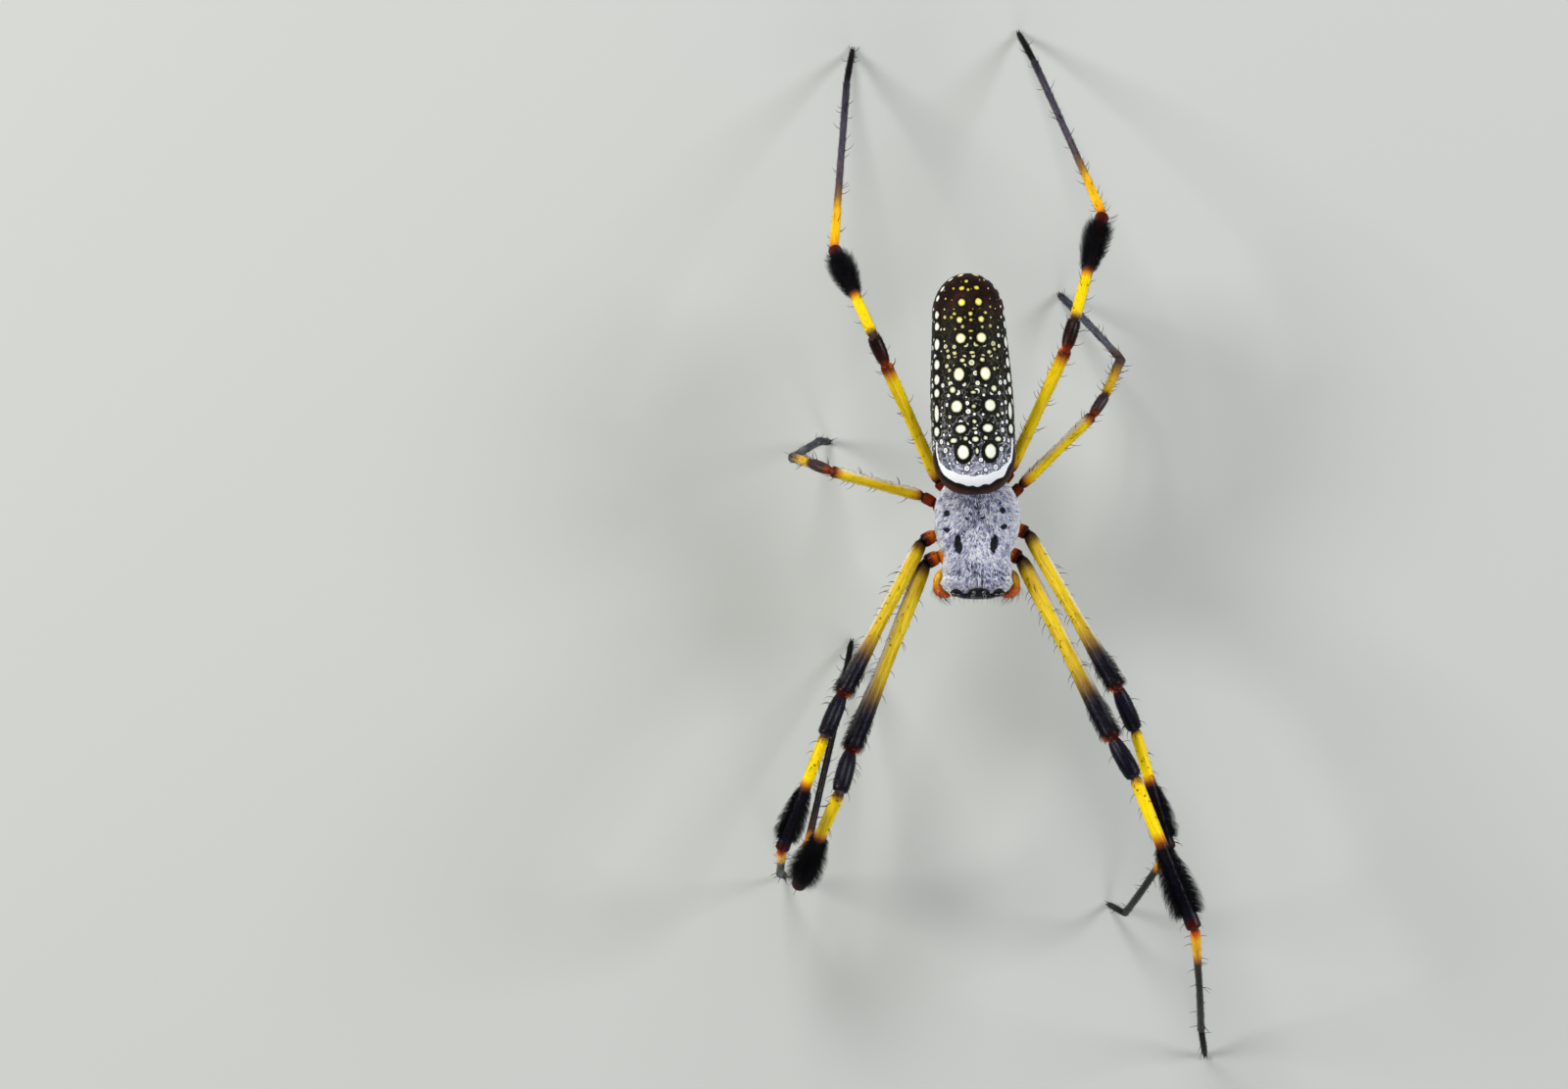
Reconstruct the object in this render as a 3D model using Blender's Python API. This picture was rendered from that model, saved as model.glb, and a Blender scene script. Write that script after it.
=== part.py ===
"""Golden silk orb weaver: a still, life-size model of a female spider.

The spider stands on its eight tarsi on the plane z = 0, back upwards and head towards -Y, in the
pose of an orb weaver that hangs head down on its web. +X is the side of its left legs.
All sizes below are millimetres and all angles degrees; add_node turns the points into metres.
"""
import math
import random

import bmesh
import bpy
from mathutils import Vector

MM = 0.001
GAP = 0.3
UP = Vector((0.0, 0.0, 1.0))

# Legs: length of each segment, and the half widths at its joint, middle and far part
SEGMENTS = ("femur", "patella", "tibia", "metatarsus", "tarsus")
LEG_LENGTHS = {
    1: (18.3, 3.8, 14.0, 19.3, 4.2),
    2: (16.1, 4.0, 10.8, 14.7, 3.4),
    3: (8.8, 2.3, 5.1, 7.9, 2.5),
    4: (13.1, 2.7, 11.5, 18.0, 4.0),
}
FEMUR_HALF_WIDTH = {1: 0.68, 2: 0.62, 3: 0.50, 4: 0.52}
FEMUR_CLUB_HALF_WIDTH = {1: 0.80, 2: 0.75, 3: 0.50, 4: 0.56}
PATELLA_HALF_WIDTH = {1: 0.78, 2: 0.74, 3: 0.50, 4: 0.62}
TIBIA_HALF_WIDTH = {1: 0.55, 2: 0.50, 3: 0.41, 4: 0.49}
TIBIA_END_HALF_WIDTH = {1: 0.66, 2: 0.60, 3: 0.43, 4: 0.58}
METATARSUS_BASE_HALF_WIDTH = {1: 0.46, 2: 0.44, 3: 0.36, 4: 0.42}
METATARSUS_HALF_WIDTH = {1: 0.31, 2: 0.31, 3: 0.29, 4: 0.30}
TARSUS_HALF_WIDTH = 0.28
TARSUS_TIP_HALF_WIDTH = 0.24
JOINT_NARROWING = 0.80
FEMUR_WAIST = 0.94

# Brushes of long black hair on the far part of the first, second and fourth tibiae, as rings of
# flat locks that lean towards the foot; along is measured from the lock's root, out from the skin
BRUSH_START = 0.43
BRUSH_REACH = {1: 1.00, 2: 0.72, 4: 0.80}
BRUSH_CORE_SHARE = 0.2
BRUSH_RINGS = {1: 6, 2: 5, 4: 5}
LOCKS_PER_RING = {1: 7, 2: 6, 4: 6}
LOCK_LENGTH = {1: 2.1, 2: 1.7, 4: 1.8}
LOCK_SECTIONS = (
    {"along": -0.15, "out": -0.35, "half_width": 0.30, "thickness": 0.50},
    {"along": 0.18, "out": 0.22, "half_width": 0.36, "thickness": 0.50},
    {"along": 0.55, "out": 0.62, "half_width": 0.30, "thickness": 0.42},
    {"along": 0.82, "out": 0.86, "half_width": 0.18, "thickness": 0.28},
    {"along": 1.0, "out": 1.0, "half_width": 0.0, "thickness": 0.0},
)
LOCK_LEAN = 0.6
LOCK_SWAY = 0.22
LOCK_STAGGER = 0.5
LOCK_JITTER = 0.12
FIRST_LOCK_INSET = 0.02
LAST_LOCK_SHARE = 0.75
LOCK_EXIT_MARGIN = 0.05
LOCK_VARIATION = 0.10

# Pose: the hip point, then heading and rise of each segment; the last two rises are worked out
HIP_HEIGHT = 12.75
LEG_POSES = {
    "right_1": {"hip": (-4.45, -2.84), "femur": (-112, 17), "patella": (-105, 19), "tibia": (-112.5, -49),
                "metatarsus": 77, "tarsus": 80, "droop": -10},
    "right_2": {"hip": (-4.74, -1.02), "femur": (-118, 22), "patella": (-113, 19), "tibia": (-110.5, -12),
                "metatarsus": -92, "tarsus": -40, "droop": -3},
    "right_3": {"hip": (-4.72, 2.98), "femur": (165, 21), "patella": (158, -36), "tibia": (161, -71),
                "metatarsus": 33, "tarsus": -4, "droop": -2},
    "right_4": {"hip": (-3.36, 4.29), "femur": (115, 33), "patella": (113.5, 8), "tibia": (113, -43),
                "metatarsus": 85.5, "tarsus": 80, "droop": -7},
    "left_1": {"hip": (3.83, -2.44), "femur": (-63.5, 18), "patella": (-60.5, 11), "tibia": (-68.5, 3.6),
               "metatarsus": -81.5, "tarsus": -78, "droop": 6},
    "left_2": {"hip": (4.46, -0.26), "femur": (-60.5, 17), "patella": (-66.5, -15), "tibia": (-74, -2),
               "metatarsus": -118, "tarsus": 153, "droop": -3},
    "left_3": {"hip": (3.87, 3.88), "femur": (44.3, -10), "patella": (56.5, -20), "tibia": (65, -45),
               "metatarsus": 131, "tarsus": 132, "droop": -16},
    "left_4": {"hip": (2.93, 5.19), "femur": (66, 30), "patella": (74, -9), "tibia": (74, -33),
               "metatarsus": 112, "tarsus": 115.5, "droop": -10},
}
# Arch of each segment: how far its middle rises above the straight line, as a share of its length
ARCH = {"femur": 0.025, "patella": 0.02, "tibia": 0.015, "metatarsus": 0.035, "tarsus": 0.03}

# Front half of the body: outline of the carapace, as distance along y, half width and height
CARAPACE_BASE = 13.9
CARAPACE_OUTLINE = (
    (-5.55, 1.92, 1.90),
    (-5.20, 2.26, 2.45),
    (-4.60, 2.57, 2.90),
    (-3.40, 2.78, 3.10),
    (-2.10, 2.70, 2.85),
    (-0.90, 3.17, 2.40),
    (0.85, 3.50, 2.15),
    (2.50, 3.28, 1.85),
    (3.70, 2.62, 1.25),
    (4.40, 1.85, 0.75),
    (4.75, 1.10, 0.50),
)
CARAPACE_MARGIN = 0.35
CARAPACE_UNDER_SHARE = 0.9
CARAPACE_ROUNDNESS = 0.75
FACE_LIFT = {"from": -3.85, "to": -4.20, "height": 1.0}
CERVICAL_GROOVE = {"from": (0.35, 0.9), "to": (2.85, -2.1), "depth": 0.30, "width": 0.42}
FOVEA = {"y": 1.5, "length": 0.8, "width": 0.5, "depth": 0.35}

# Breastplate: its outline on the left side; each of its four long sides faces a coxa
STERNUM_BOTTOM = 11.1
STERNUM_CORNERS = ((1.05, -2.75), (1.62, -1.35), (1.80, 0.10), (1.55, 1.50), (0.75, 2.75))
STERNUM_EDGE_INSET = 0.45
LABIUM = {"half_width": 0.27, "root": 0.5, "length": 0.9, "bottom": 11.3, "top": 12.3, "tip_share": 0.6}
COXA_HEIGHT = 12.35
COXA_HALF_WIDTH = {1: 0.66, 2: 0.64, 3: 0.55, 4: 0.62}
COXA_ROOT_HALF_WIDTH = 0.55
COXA_BACKSET = {1: 0.22, 2: 0.40, 3: 0.0, 4: 0.0}
COXA_ROOT_HALF_HEIGHT = 0.80
TROCHANTER_HALF_WIDTH = {1: 0.66, 2: 0.62, 3: 0.50, 4: 0.58}
TROCHANTER_WAIST = 0.86
COXA_RISE_SHARE = 1.1
COXA_STATIONS = (0.0, 0.22, 0.45, 0.60, 0.70, 0.80, 0.89, 1.0)

# Jaws and feelers, given for the left side
CHELICERA = {"x": 1.00, "y": -4.96, "half_width": 0.84, "half_depth": 0.66, "length": 3.7, "splay": 0.06}
CHELICERA_SECTIONS = (
    (0.0, 0.82, 0.88),
    (0.15, 1.0, 1.0),
    (0.45, 1.0, 1.0),
    (0.75, 0.88, 0.90),
    (0.93, 0.72, 0.74),
    (1.0, 0.50, 0.52),
)
FANG_PATH = ((0.10, 0.00, -3.35), (0.02, 0.05, -3.95), (-0.30, 0.30, -4.35), (-0.62, 0.55, -4.25))
FANG_HALF_WIDTHS = (0.36, 0.30, 0.22, 0.04)
PALP_PATH = (
    (0.97, -3.05, 12.15),
    (1.40, -3.50, 12.05),
    (2.25, -3.62, 12.25),
    (3.02, -3.66, 12.75),
    (3.36, -4.15, 13.05),
    (3.46, -4.80, 12.90),
    (3.12, -5.42, 12.30),
    (2.28, -5.72, 11.80),
)
PALP_HALF_WIDTHS = (0.36, 0.42, 0.38, 0.38, 0.46, 0.44, 0.42, 0.22)

# Eyes: four in the middle on one mound, and two on a mound at each corner of the head
EYE_SLOPE = 50.0
EYE_MOUND_MIDDLE = {"x": 0.10, "y": -5.42, "z": 16.55, "half_width": 0.95, "half_length": 0.50}
EYE_MOUND_CORNER = {"x": 1.86, "y": -5.44, "z": 16.10, "half_width": 0.48, "half_length": 0.40}
EYE_MOUND_THICKNESS = 0.30
EYE_MOUND_SECTIONS = ((-0.5, 0.94), (-0.1, 1.0), (0.5, 0.85), (0.95, 0.5))
EYE_HALF_WIDTH = 0.22
EYE_LIFT_SHARE = 0.85
MIDDLE_EYES = ((-0.50, -0.22), (0.50, -0.22), (-0.42, 0.24), (0.42, 0.24))
CORNER_EYES = ((-0.20, -0.06), (0.22, 0.04))

# Rear half of the body
ABDOMEN_FRONT = Vector((-0.20, 3.06, 17.90))
ABDOMEN_REAR = Vector((-0.97, 22.15, 16.95))
ABDOMEN_HALF_WIDTH = 3.63
ABDOMEN_TAPER = {"from": 7.0, "to": 18.0, "narrower_by": 0.55}
ABDOMEN_FRONT_ROUNDING = {"length": 4.4, "power": 2.6}
ABDOMEN_REAR_ROUNDING = 3.4
ABDOMEN_HEIGHT_SHARE = 0.93
PEDICEL_PATH = ((0.0, 3.05, 12.65), (0.0, 4.00, 12.75), (-0.05, 4.90, 13.10), (-0.15, 5.65, 14.10))
PEDICEL_HALF_WIDTH = 0.42
SPINNERETS = {"along": 16.6, "half_width": 0.85, "sink": 0.1, "lean": 0.42}
SPINNERET_CONE_ROOT = 0.3
SPINNERET_CONE_SPREAD = 0.5
SPINNERET_BASE_SECTIONS = ((0.0, 1.0), (0.45, 0.96), (0.9, 0.62))
SPINNERET_TAPER = (1.0, 0.9, 0.35)
SPINNERET_SPREAD = ((-0.36, 0.30), (0.36, 0.30), (-0.34, -0.38), (0.34, -0.38))
SPINNERET_LENGTH = 1.3
SPINNERET_HALF_WIDTH = 0.34

# Fineness of the round forms: points around each, and rings along the long ones
SEGMENT_SIDES = 8
COXA_SIDES = 10
PALP_SIDES = 8
PALP_STATIONS = 15
PEDICEL_STATIONS = 7
CHELICERA_SIDES = 12
FANG_SIDES = 6
EYE_MOUND_SIDES = 16
SPINNERET_SIDES = 12
CONE_SIDES = 6
ABDOMEN_SIDES = 26
ABDOMEN_STATIONS = 22
CARAPACE_STATIONS = 24
CARAPACE_ARC_POINTS = 17
PATH_STEP = 0.01

# Finishes: colour, roughness and metallic value of the living surface
FINISHES = {
    "carapace_fur": ("B4B4C0", 0.85, 0.0),
    "abdomen_skin": ("3A3A33", 0.45, 0.0),
    "spinneret_skin": ("5A2A1E", 0.55, 0.0),
    "sternum_skin": ("3B2A22", 0.50, 0.0),
    "coxa_skin": ("8E3318", 0.42, 0.0),
    "femur_skin": ("CFA41C", 0.35, 0.0),
    "patella_skin": ("2B2631", 0.32, 0.0),
    "tibia_skin": ("1A1719", 0.80, 0.0),
    "metatarsus_skin": ("332226", 0.40, 0.0),
    "tarsus_skin": ("1F1A1C", 0.45, 0.0),
    "chelicera_skin": ("171213", 0.25, 0.0),
    "palp_skin": ("D9641C", 0.40, 0.0),
    "eye_lens": ("0C0B0C", 0.08, 0.0),
}


# General geometry

def clear_scene():
    for obj in list(bpy.data.objects):
        bpy.data.objects.remove(obj, do_unlink=True)


def direction(heading, rise):
    """Unit vector from a heading in the ground plane and a rise above it, both in degrees."""
    heading = math.radians(heading)
    rise = math.radians(rise)
    return Vector((math.cos(rise) * math.cos(heading), math.cos(rise) * math.sin(heading), math.sin(rise)))


def smooth_step(low, high, value):
    share = min(max((value - low) / (high - low), 0.0), 1.0)
    return share * share * (3.0 - 2.0 * share)


def curve_through(stations, at):
    """The values at a place along stations (place, value, ...), on smooth cubic pieces."""
    places = [row[0] for row in stations]
    last = len(stations) - 2
    piece = min(max(sum(place <= at for place in places) - 1, 0), last)
    start = stations[piece]
    end = stations[piece + 1]
    span = end[0] - start[0]
    share = min(max((at - start[0]) / span, 0.0), 1.0)
    before = stations[max(piece - 1, 0)]
    after = stations[min(piece + 2, len(stations) - 1)]
    values = []
    for column in range(1, len(start)):
        slope_start = (end[column] - before[column]) / (end[0] - before[0])
        slope_end = (after[column] - start[column]) / (after[0] - start[0])
        rest = 1.0 - share
        values.append(
            start[column] * (1.0 + 2.0 * share) * rest * rest
            + slope_start * span * share * rest * rest
            + end[column] * share * share * (3.0 - 2.0 * share)
            - slope_end * span * share * share * rest
        )
    return values


def path_through(points, share):
    """A point on the smooth curve through the points, which are taken as evenly spaced."""
    stations = [(index, *point) for index, point in enumerate(points)]
    return Vector(curve_through(stations, share * (len(points) - 1)))


def path_direction(points, share):
    ahead = path_through(points, min(share + PATH_STEP, 1.0))
    behind = path_through(points, max(share - PATH_STEP, 0.0))
    return (ahead - behind).normalized()


def side_and_up(along):
    side = along.cross(UP)
    if side.length < 1e-4:
        side = Vector((1.0, 0.0, 0.0))
    side.normalize()
    return side, side.cross(along).normalized()


def ring_points(centre, along, half_width, half_height, count):
    side, upward = side_and_up(along)
    return ellipse(centre, side * half_width, upward * half_height, count)


def ellipse(centre, across, along, count):
    """Points of an ellipse from its middle and its two half axes."""
    turns = [2.0 * math.pi * (index + 0.5) / count for index in range(count)]
    return [centre + across * math.cos(turn) + along * math.sin(turn) for turn in turns]


def slide_to_plane(points, along, place, normal):
    """Moves each point along one direction until it lies in the plane, which mitres a tube's end."""
    return [point - along * ((point - place).dot(normal) / along.dot(normal)) for point in points]


def loft(rings):
    """A closed skin over rings of equally many points; a ring of one point ends it in a tip."""
    mesh = bmesh.new()
    rows = [[mesh.verts.new(point) for point in ring] for ring in rings]
    for first, second in zip(rows, rows[1:]):
        count = max(len(first), len(second))
        for index in range(count):
            after = (index + 1) % count
            corners = [first[index % len(first)], first[after % len(first)]]
            corners += [second[after % len(second)], second[index % len(second)]]
            unique = list(dict.fromkeys(corners))
            mesh.faces.new(unique)
    for row in (rows[0], rows[-1]):
        if len(row) > 1:
            mesh.faces.new(row)
    bmesh.ops.recalc_face_normals(mesh, faces=mesh.faces)
    return mesh


def tube(path, half_widths, stations, sides):
    """A round bar along a list of points, with half widths given at even spacing along it."""
    widths = [(index / (len(half_widths) - 1), width) for index, width in enumerate(half_widths)]
    rings = []
    for index in range(stations):
        share = index / (stations - 1)
        half_width = curve_through(widths, share)[0]
        along = path_direction(path, share)
        rings.append(ring_points(path_through(path, share), along, half_width, half_width, sides))
    return loft(rings)


def finish(name):
    material = bpy.data.materials.get(name)
    if material is None:
        colour, roughness, metallic = FINISHES[name]
        parts = [int(colour[index:index + 2], 16) / 255.0 for index in (0, 2, 4)]
        linear = [part / 12.92 if part <= 0.04045 else ((part + 0.055) / 1.055) ** 2.4 for part in parts]
        material = bpy.data.materials.new(name)
        material.use_nodes = True
        surface = material.node_tree.nodes["Principled BSDF"]
        surface.inputs["Base Color"].default_value = (*linear, 1.0)
        surface.inputs["Roughness"].default_value = roughness
        surface.inputs["Metallic"].default_value = metallic
    return material


def add_node(name, mesh, origin, finish_name, collection=None):
    """Turns a bmesh in millimetres into an object in metres whose own origin is at the given point."""
    for vertex in mesh.verts:
        vertex.co = (vertex.co - origin) * MM
    data = bpy.data.meshes.new(name)
    mesh.to_mesh(data)
    mesh.free()
    data.shade_smooth()
    data.set_sharp_from_angle(angle=math.radians(50.0))
    obj = bpy.data.objects.new(name, data)
    obj.location = origin * MM
    if finish_name:
        data.materials.append(finish(finish_name))
    (collection or bpy.context.scene.collection).objects.link(obj)
    return obj


def keep_largest_surface(data):
    """Leaves only the closed surface that holds the most volume."""
    mesh = bmesh.new()
    mesh.from_mesh(data)
    left = set(mesh.faces)
    surfaces = []
    while left:
        stack = [left.pop()]
        surface = list(stack)
        while stack:
            for edge in stack.pop().edges:
                for face in edge.link_faces:
                    if face in left:
                        left.remove(face)
                        stack.append(face)
                        surface.append(face)
        surfaces.append(surface)
    surfaces.sort(key=lambda faces: sum(face.calc_area() for face in faces))
    for surface in surfaces[:-1]:
        bmesh.ops.delete(mesh, geom=surface, context="FACES")
    mesh.to_mesh(data)
    mesh.free()


def fuse(core, meshes, origin):
    """Joins closed meshes into the core with one union, so that the node is one closed body."""
    holder = bpy.data.collections.new(core.name + "_pieces")
    bpy.context.scene.collection.children.link(holder)
    pieces = [add_node(f"{core.name}_piece", mesh, origin, None, holder) for mesh in meshes]
    union = core.modifiers.new("Union", "BOOLEAN")
    union.operation = "UNION"
    union.operand_type = "COLLECTION"
    union.collection = holder
    union.solver = "EXACT"
    bpy.context.view_layer.update()
    graph = bpy.context.evaluated_depsgraph_get()
    joined = bpy.data.meshes.new_from_object(core.evaluated_get(graph))
    core.modifiers.clear()
    core.data = joined
    keep_largest_surface(core.data)
    for piece in pieces:
        bpy.data.objects.remove(piece, do_unlink=True)
    bpy.data.collections.remove(holder)


# Legs

def leg_joints(leg, pose):
    """The six joint points of a leg, from the hip down to the tip on the floor."""
    lengths = LEG_LENGTHS[leg]
    points = [Vector((*pose["hip"], HIP_HEIGHT))]
    for segment, length in zip(SEGMENTS[:3], lengths):
        points.append(points[-1] + direction(*pose[segment]) * length)
    # The rise that brings the tip down to the floor when the tarsus is bent by the droop
    droop = math.radians(pose["droop"])
    reach_along = lengths[3] + lengths[4] * math.cos(droop)
    reach_across = lengths[4] * math.sin(droop)
    reach = math.hypot(reach_along, reach_across)
    fall = math.degrees(-math.asin(points[-1].z / reach) - math.atan2(reach_across, reach_along))
    points.append(points[-1] + direction(pose["metatarsus"], fall) * lengths[3])
    points.append(points[-1] + direction(pose["tarsus"], fall + pose["droop"]) * lengths[4])
    return points


def arched_path(start, end, arch):
    chord = end - start
    _, upward = side_and_up(chord.normalized())
    return lambda share: start + chord * share + upward * (4.0 * arch * chord.length * share * (1.0 - share))


def segment_half_width(leg, segment, share):
    """Half width of a segment of the leg at a share of its length, narrowed at both joints."""
    if segment == "femur":
        thick = FEMUR_HALF_WIDTH[leg]
        club = FEMUR_CLUB_HALF_WIDTH[leg]
        rows = ((0.0, thick * JOINT_NARROWING), (0.07, thick), (0.55, thick * FEMUR_WAIST),
                (0.80, club), (0.94, club), (1.0, club * JOINT_NARROWING))
    elif segment == "patella":
        thick = PATELLA_HALF_WIDTH[leg]
        rows = ((0.0, thick * JOINT_NARROWING), (0.3, thick), (0.7, thick), (1.0, thick * JOINT_NARROWING))
    elif segment == "tibia":
        thick = TIBIA_HALF_WIDTH[leg]
        end = TIBIA_END_HALF_WIDTH[leg]
        core = end + BRUSH_CORE_SHARE * BRUSH_REACH.get(leg, 0.0)
        rows = ((0.0, thick * JOINT_NARROWING), (0.10, thick), (BRUSH_START, thick),
                (BRUSH_START + 0.14, core), (0.90, core), (1.0, end * JOINT_NARROWING))
    elif segment == "metatarsus":
        base = METATARSUS_BASE_HALF_WIDTH[leg]
        thin = METATARSUS_HALF_WIDTH[leg]
        rows = ((0.0, base * JOINT_NARROWING), (0.06, base), (0.35, thin), (1.0, thin))
    else:
        rows = ((0.0, TARSUS_HALF_WIDTH), (0.6, TARSUS_HALF_WIDTH), (1.0, TARSUS_TIP_HALF_WIDTH))
    return curve_through(rows, share)[0]


SEGMENT_SHARES = {
    "femur": (0.0, 0.07, 0.16, 0.40, 0.60, 0.72, 0.82, 0.93, 1.0),
    "patella": (0.0, 0.28, 0.50, 0.72, 1.0),
    "tibia": (0.0, 0.09, 0.25, 0.43, 0.58, 0.74, 0.92, 1.0),
    "metatarsus": (0.0, 0.07, 0.16, 0.30, 0.48, 0.66, 0.84, 1.0),
    "tarsus": (0.0, 0.25, 0.5, 0.75, 1.0),
}


def cut_at_floor(mesh):
    """Cuts off what lies below the floor and closes the cut with a flat face."""
    everything = list(mesh.verts) + list(mesh.edges) + list(mesh.faces)
    cut = bmesh.ops.bisect_plane(mesh, geom=everything, plane_co=(0.0, 0.0, 0.0), plane_no=(0.0, 0.0, 1.0),
                                 clear_inner=True)
    edges = [item for item in cut["geom_cut"] if isinstance(item, bmesh.types.BMEdge)]
    bmesh.ops.contextual_create(mesh, geom=edges)
    for face in mesh.faces:
        for vertex in face.verts:
            if abs(vertex.co.z) < 1e-4:
                vertex.co.z = 0.0
    bmesh.ops.recalc_face_normals(mesh, faces=mesh.faces)


def build_lock(leg, path, share, turn, exit_plane, draw):
    """One flat lock, rooted in the tibia's core: it stands up, then bends over towards the foot."""
    along = (path(share + PATH_STEP) - path(share - PATH_STEP)).normalized()
    side, upward = side_and_up(along)
    outward = side * math.cos(turn) + upward * math.sin(turn)
    across = along.cross(outward)
    skin = segment_half_width(leg, "tibia", share)
    tips = TIBIA_END_HALF_WIDTH[leg] + BRUSH_REACH[leg]
    reach = (tips - skin) * (1.0 - LOCK_VARIATION * draw.random())
    length = LOCK_LENGTH[leg] * (1.0 - LOCK_VARIATION * draw.random())
    sway = LOCK_SWAY * draw.uniform(-1.0, 1.0)
    place, normal = exit_plane
    tip = path(share) + along * length + outward * (skin + reach)
    beyond = (tip - place).dot(normal)
    if beyond > 0.0:
        length -= beyond / along.dot(normal)
    if length < reach:
        return None
    rings = []
    for section in LOCK_SECTIONS:
        out = section["out"] * (reach if section["out"] > 0.0 else 1.0)
        middle = path(share) + along * (section["along"] * length) + outward * (skin + out)
        middle += across * (sway * max(section["along"], 0.0))
        if section["half_width"] == 0.0:
            rings.append([middle])
        else:
            lean = (outward - along * LOCK_LEAN).normalized()
            under = middle - lean * (section["thickness"] / 2.0)
            rings.append([under - across * section["half_width"], under + across * section["half_width"],
                          under + lean * section["thickness"]])
    return loft(rings)


def add_brush(tibia, key, joints, exit_normal):
    """Rings of locks around the far part of a tibia; every second ring stands in the gaps of the last."""
    leg = int(key[-1])
    path = arched_path(*joints, ARCH["tibia"])
    exit_plane = (joints[1] - exit_normal * (GAP / 2.0 + LOCK_EXIT_MARGIN), exit_normal)
    draw = random.Random(key)
    ring_count = BRUSH_RINGS[leg]
    first = BRUSH_START + FIRST_LOCK_INSET
    last = 1.0 - LAST_LOCK_SHARE * LOCK_LENGTH[leg] / (joints[1] - joints[0]).length
    locks = []
    for ring in range(ring_count):
        share = first + (last - first) * ring / (ring_count - 1)
        for index in range(LOCKS_PER_RING[leg]):
            place = index + LOCK_STAGGER * (ring % 2) + LOCK_JITTER * draw.uniform(-1.0, 1.0)
            turn = 2.0 * math.pi * place / LOCKS_PER_RING[leg]
            lock = build_lock(leg, path, share, turn, exit_plane, draw)
            if lock:
                locks.append(lock)
    fuse(tibia, locks, joints[0])


def build_segment(name, leg, segment, joints, entry_normal, exit_normal):
    start, end = joints
    path = arched_path(start, end, ARCH[segment])
    rings = []
    for share in SEGMENT_SHARES[segment]:
        along = (path(min(share + PATH_STEP, 1.0)) - path(max(share - PATH_STEP, 0.0))).normalized()
        half_width = segment_half_width(leg, segment, share)
        ring = ring_points(path(share), along, half_width, half_width, SEGMENT_SIDES)
        if share == 0.0:
            ring = slide_to_plane(ring, along, start + entry_normal * (GAP / 2.0), entry_normal)
        elif share == 1.0 and exit_normal:
            ring = slide_to_plane(ring, along, end - exit_normal * (GAP / 2.0), exit_normal)
        rings.append(ring)
    mesh = loft(rings)
    if not exit_normal:
        cut_at_floor(mesh)
    return add_node(name, mesh, start, segment + "_skin")


def coxa_root(leg, side):
    """Middle and outward direction of the side of the breastplate that this leg grows from."""
    (x1, y1), (x2, y2) = STERNUM_CORNERS[leg - 1:leg + 1]
    outward = Vector((y2 - y1, x1 - x2, 0.0)).normalized()
    middle = Vector(((x1 + x2) / 2.0, (y1 + y2) / 2.0, COXA_HEIGHT))
    middle.x *= side
    outward.x *= side
    return middle, outward


def build_coxa(name, leg, side, hip, hip_normal):
    """Coxa and trochanter as one node: from the side of the breastplate to the hip joint."""
    root, outward = coxa_root(leg, side)
    start = root + outward * GAP
    reach = (hip - start).length
    bend = start.lerp(hip, 0.66) + Vector((0.0, COXA_BACKSET[leg], 0.0))
    path = (start, start + outward * (reach * 0.30), bend, hip)
    rows = (
        (0.0, COXA_ROOT_HALF_WIDTH, COXA_ROOT_HALF_HEIGHT),
        (0.3, COXA_HALF_WIDTH[leg], COXA_ROOT_HALF_HEIGHT),
        (0.6, COXA_HALF_WIDTH[leg], COXA_HALF_WIDTH[leg] * COXA_RISE_SHARE),
        (0.72, TROCHANTER_HALF_WIDTH[leg] * TROCHANTER_WAIST, TROCHANTER_HALF_WIDTH[leg] * TROCHANTER_WAIST),
        (0.88, TROCHANTER_HALF_WIDTH[leg], TROCHANTER_HALF_WIDTH[leg]),
        (1.0, FEMUR_HALF_WIDTH[leg] * JOINT_NARROWING, FEMUR_HALF_WIDTH[leg] * JOINT_NARROWING),
    )
    rings = []
    for share in COXA_STATIONS:
        half_width, half_height = curve_through(rows, share)
        along = path_direction(path, share)
        ring = ring_points(path_through(path, share), along, half_width, half_height, COXA_SIDES)
        if share == 0.0:
            ring = slide_to_plane(ring, along, start, outward)
        elif share == 1.0:
            ring = slide_to_plane(ring, along, hip - hip_normal * (GAP / 2.0), hip_normal)
        rings.append(ring)
    return add_node(name, loft(rings), start, "coxa_skin")


def build_leg(key):
    side_name, number = key.split("_")
    leg = int(number)
    side = 1.0 if side_name == "left" else -1.0
    joints = leg_joints(leg, LEG_POSES[key])
    root, outward = coxa_root(leg, side)
    arrivals = [(joints[0] - root - outward * GAP).normalized()]
    departures = []
    for segment, start, end in zip(SEGMENTS, joints, joints[1:]):
        path = arched_path(start, end, ARCH[segment])
        departures.append((path(PATH_STEP) - path(0.0)).normalized())
        arrivals.append((path(1.0) - path(1.0 - PATH_STEP)).normalized())
    normals = [(arrive + depart).normalized() for arrive, depart in zip(arrivals, departures)]
    nodes = [build_coxa(f"leg_{key}_coxa", leg, side, joints[0], normals[0])]
    for index, segment in enumerate(SEGMENTS):
        exit_normal = normals[index + 1] if index + 1 < len(normals) else None
        pair = (joints[index], joints[index + 1])
        nodes.append(build_segment(f"leg_{key}_{segment}", leg, segment, pair, normals[index], exit_normal))
        if segment == "tibia" and leg in BRUSH_REACH:
            add_brush(nodes[-1], key, pair, exit_normal)
    return nodes


# Front half of the body

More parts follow.
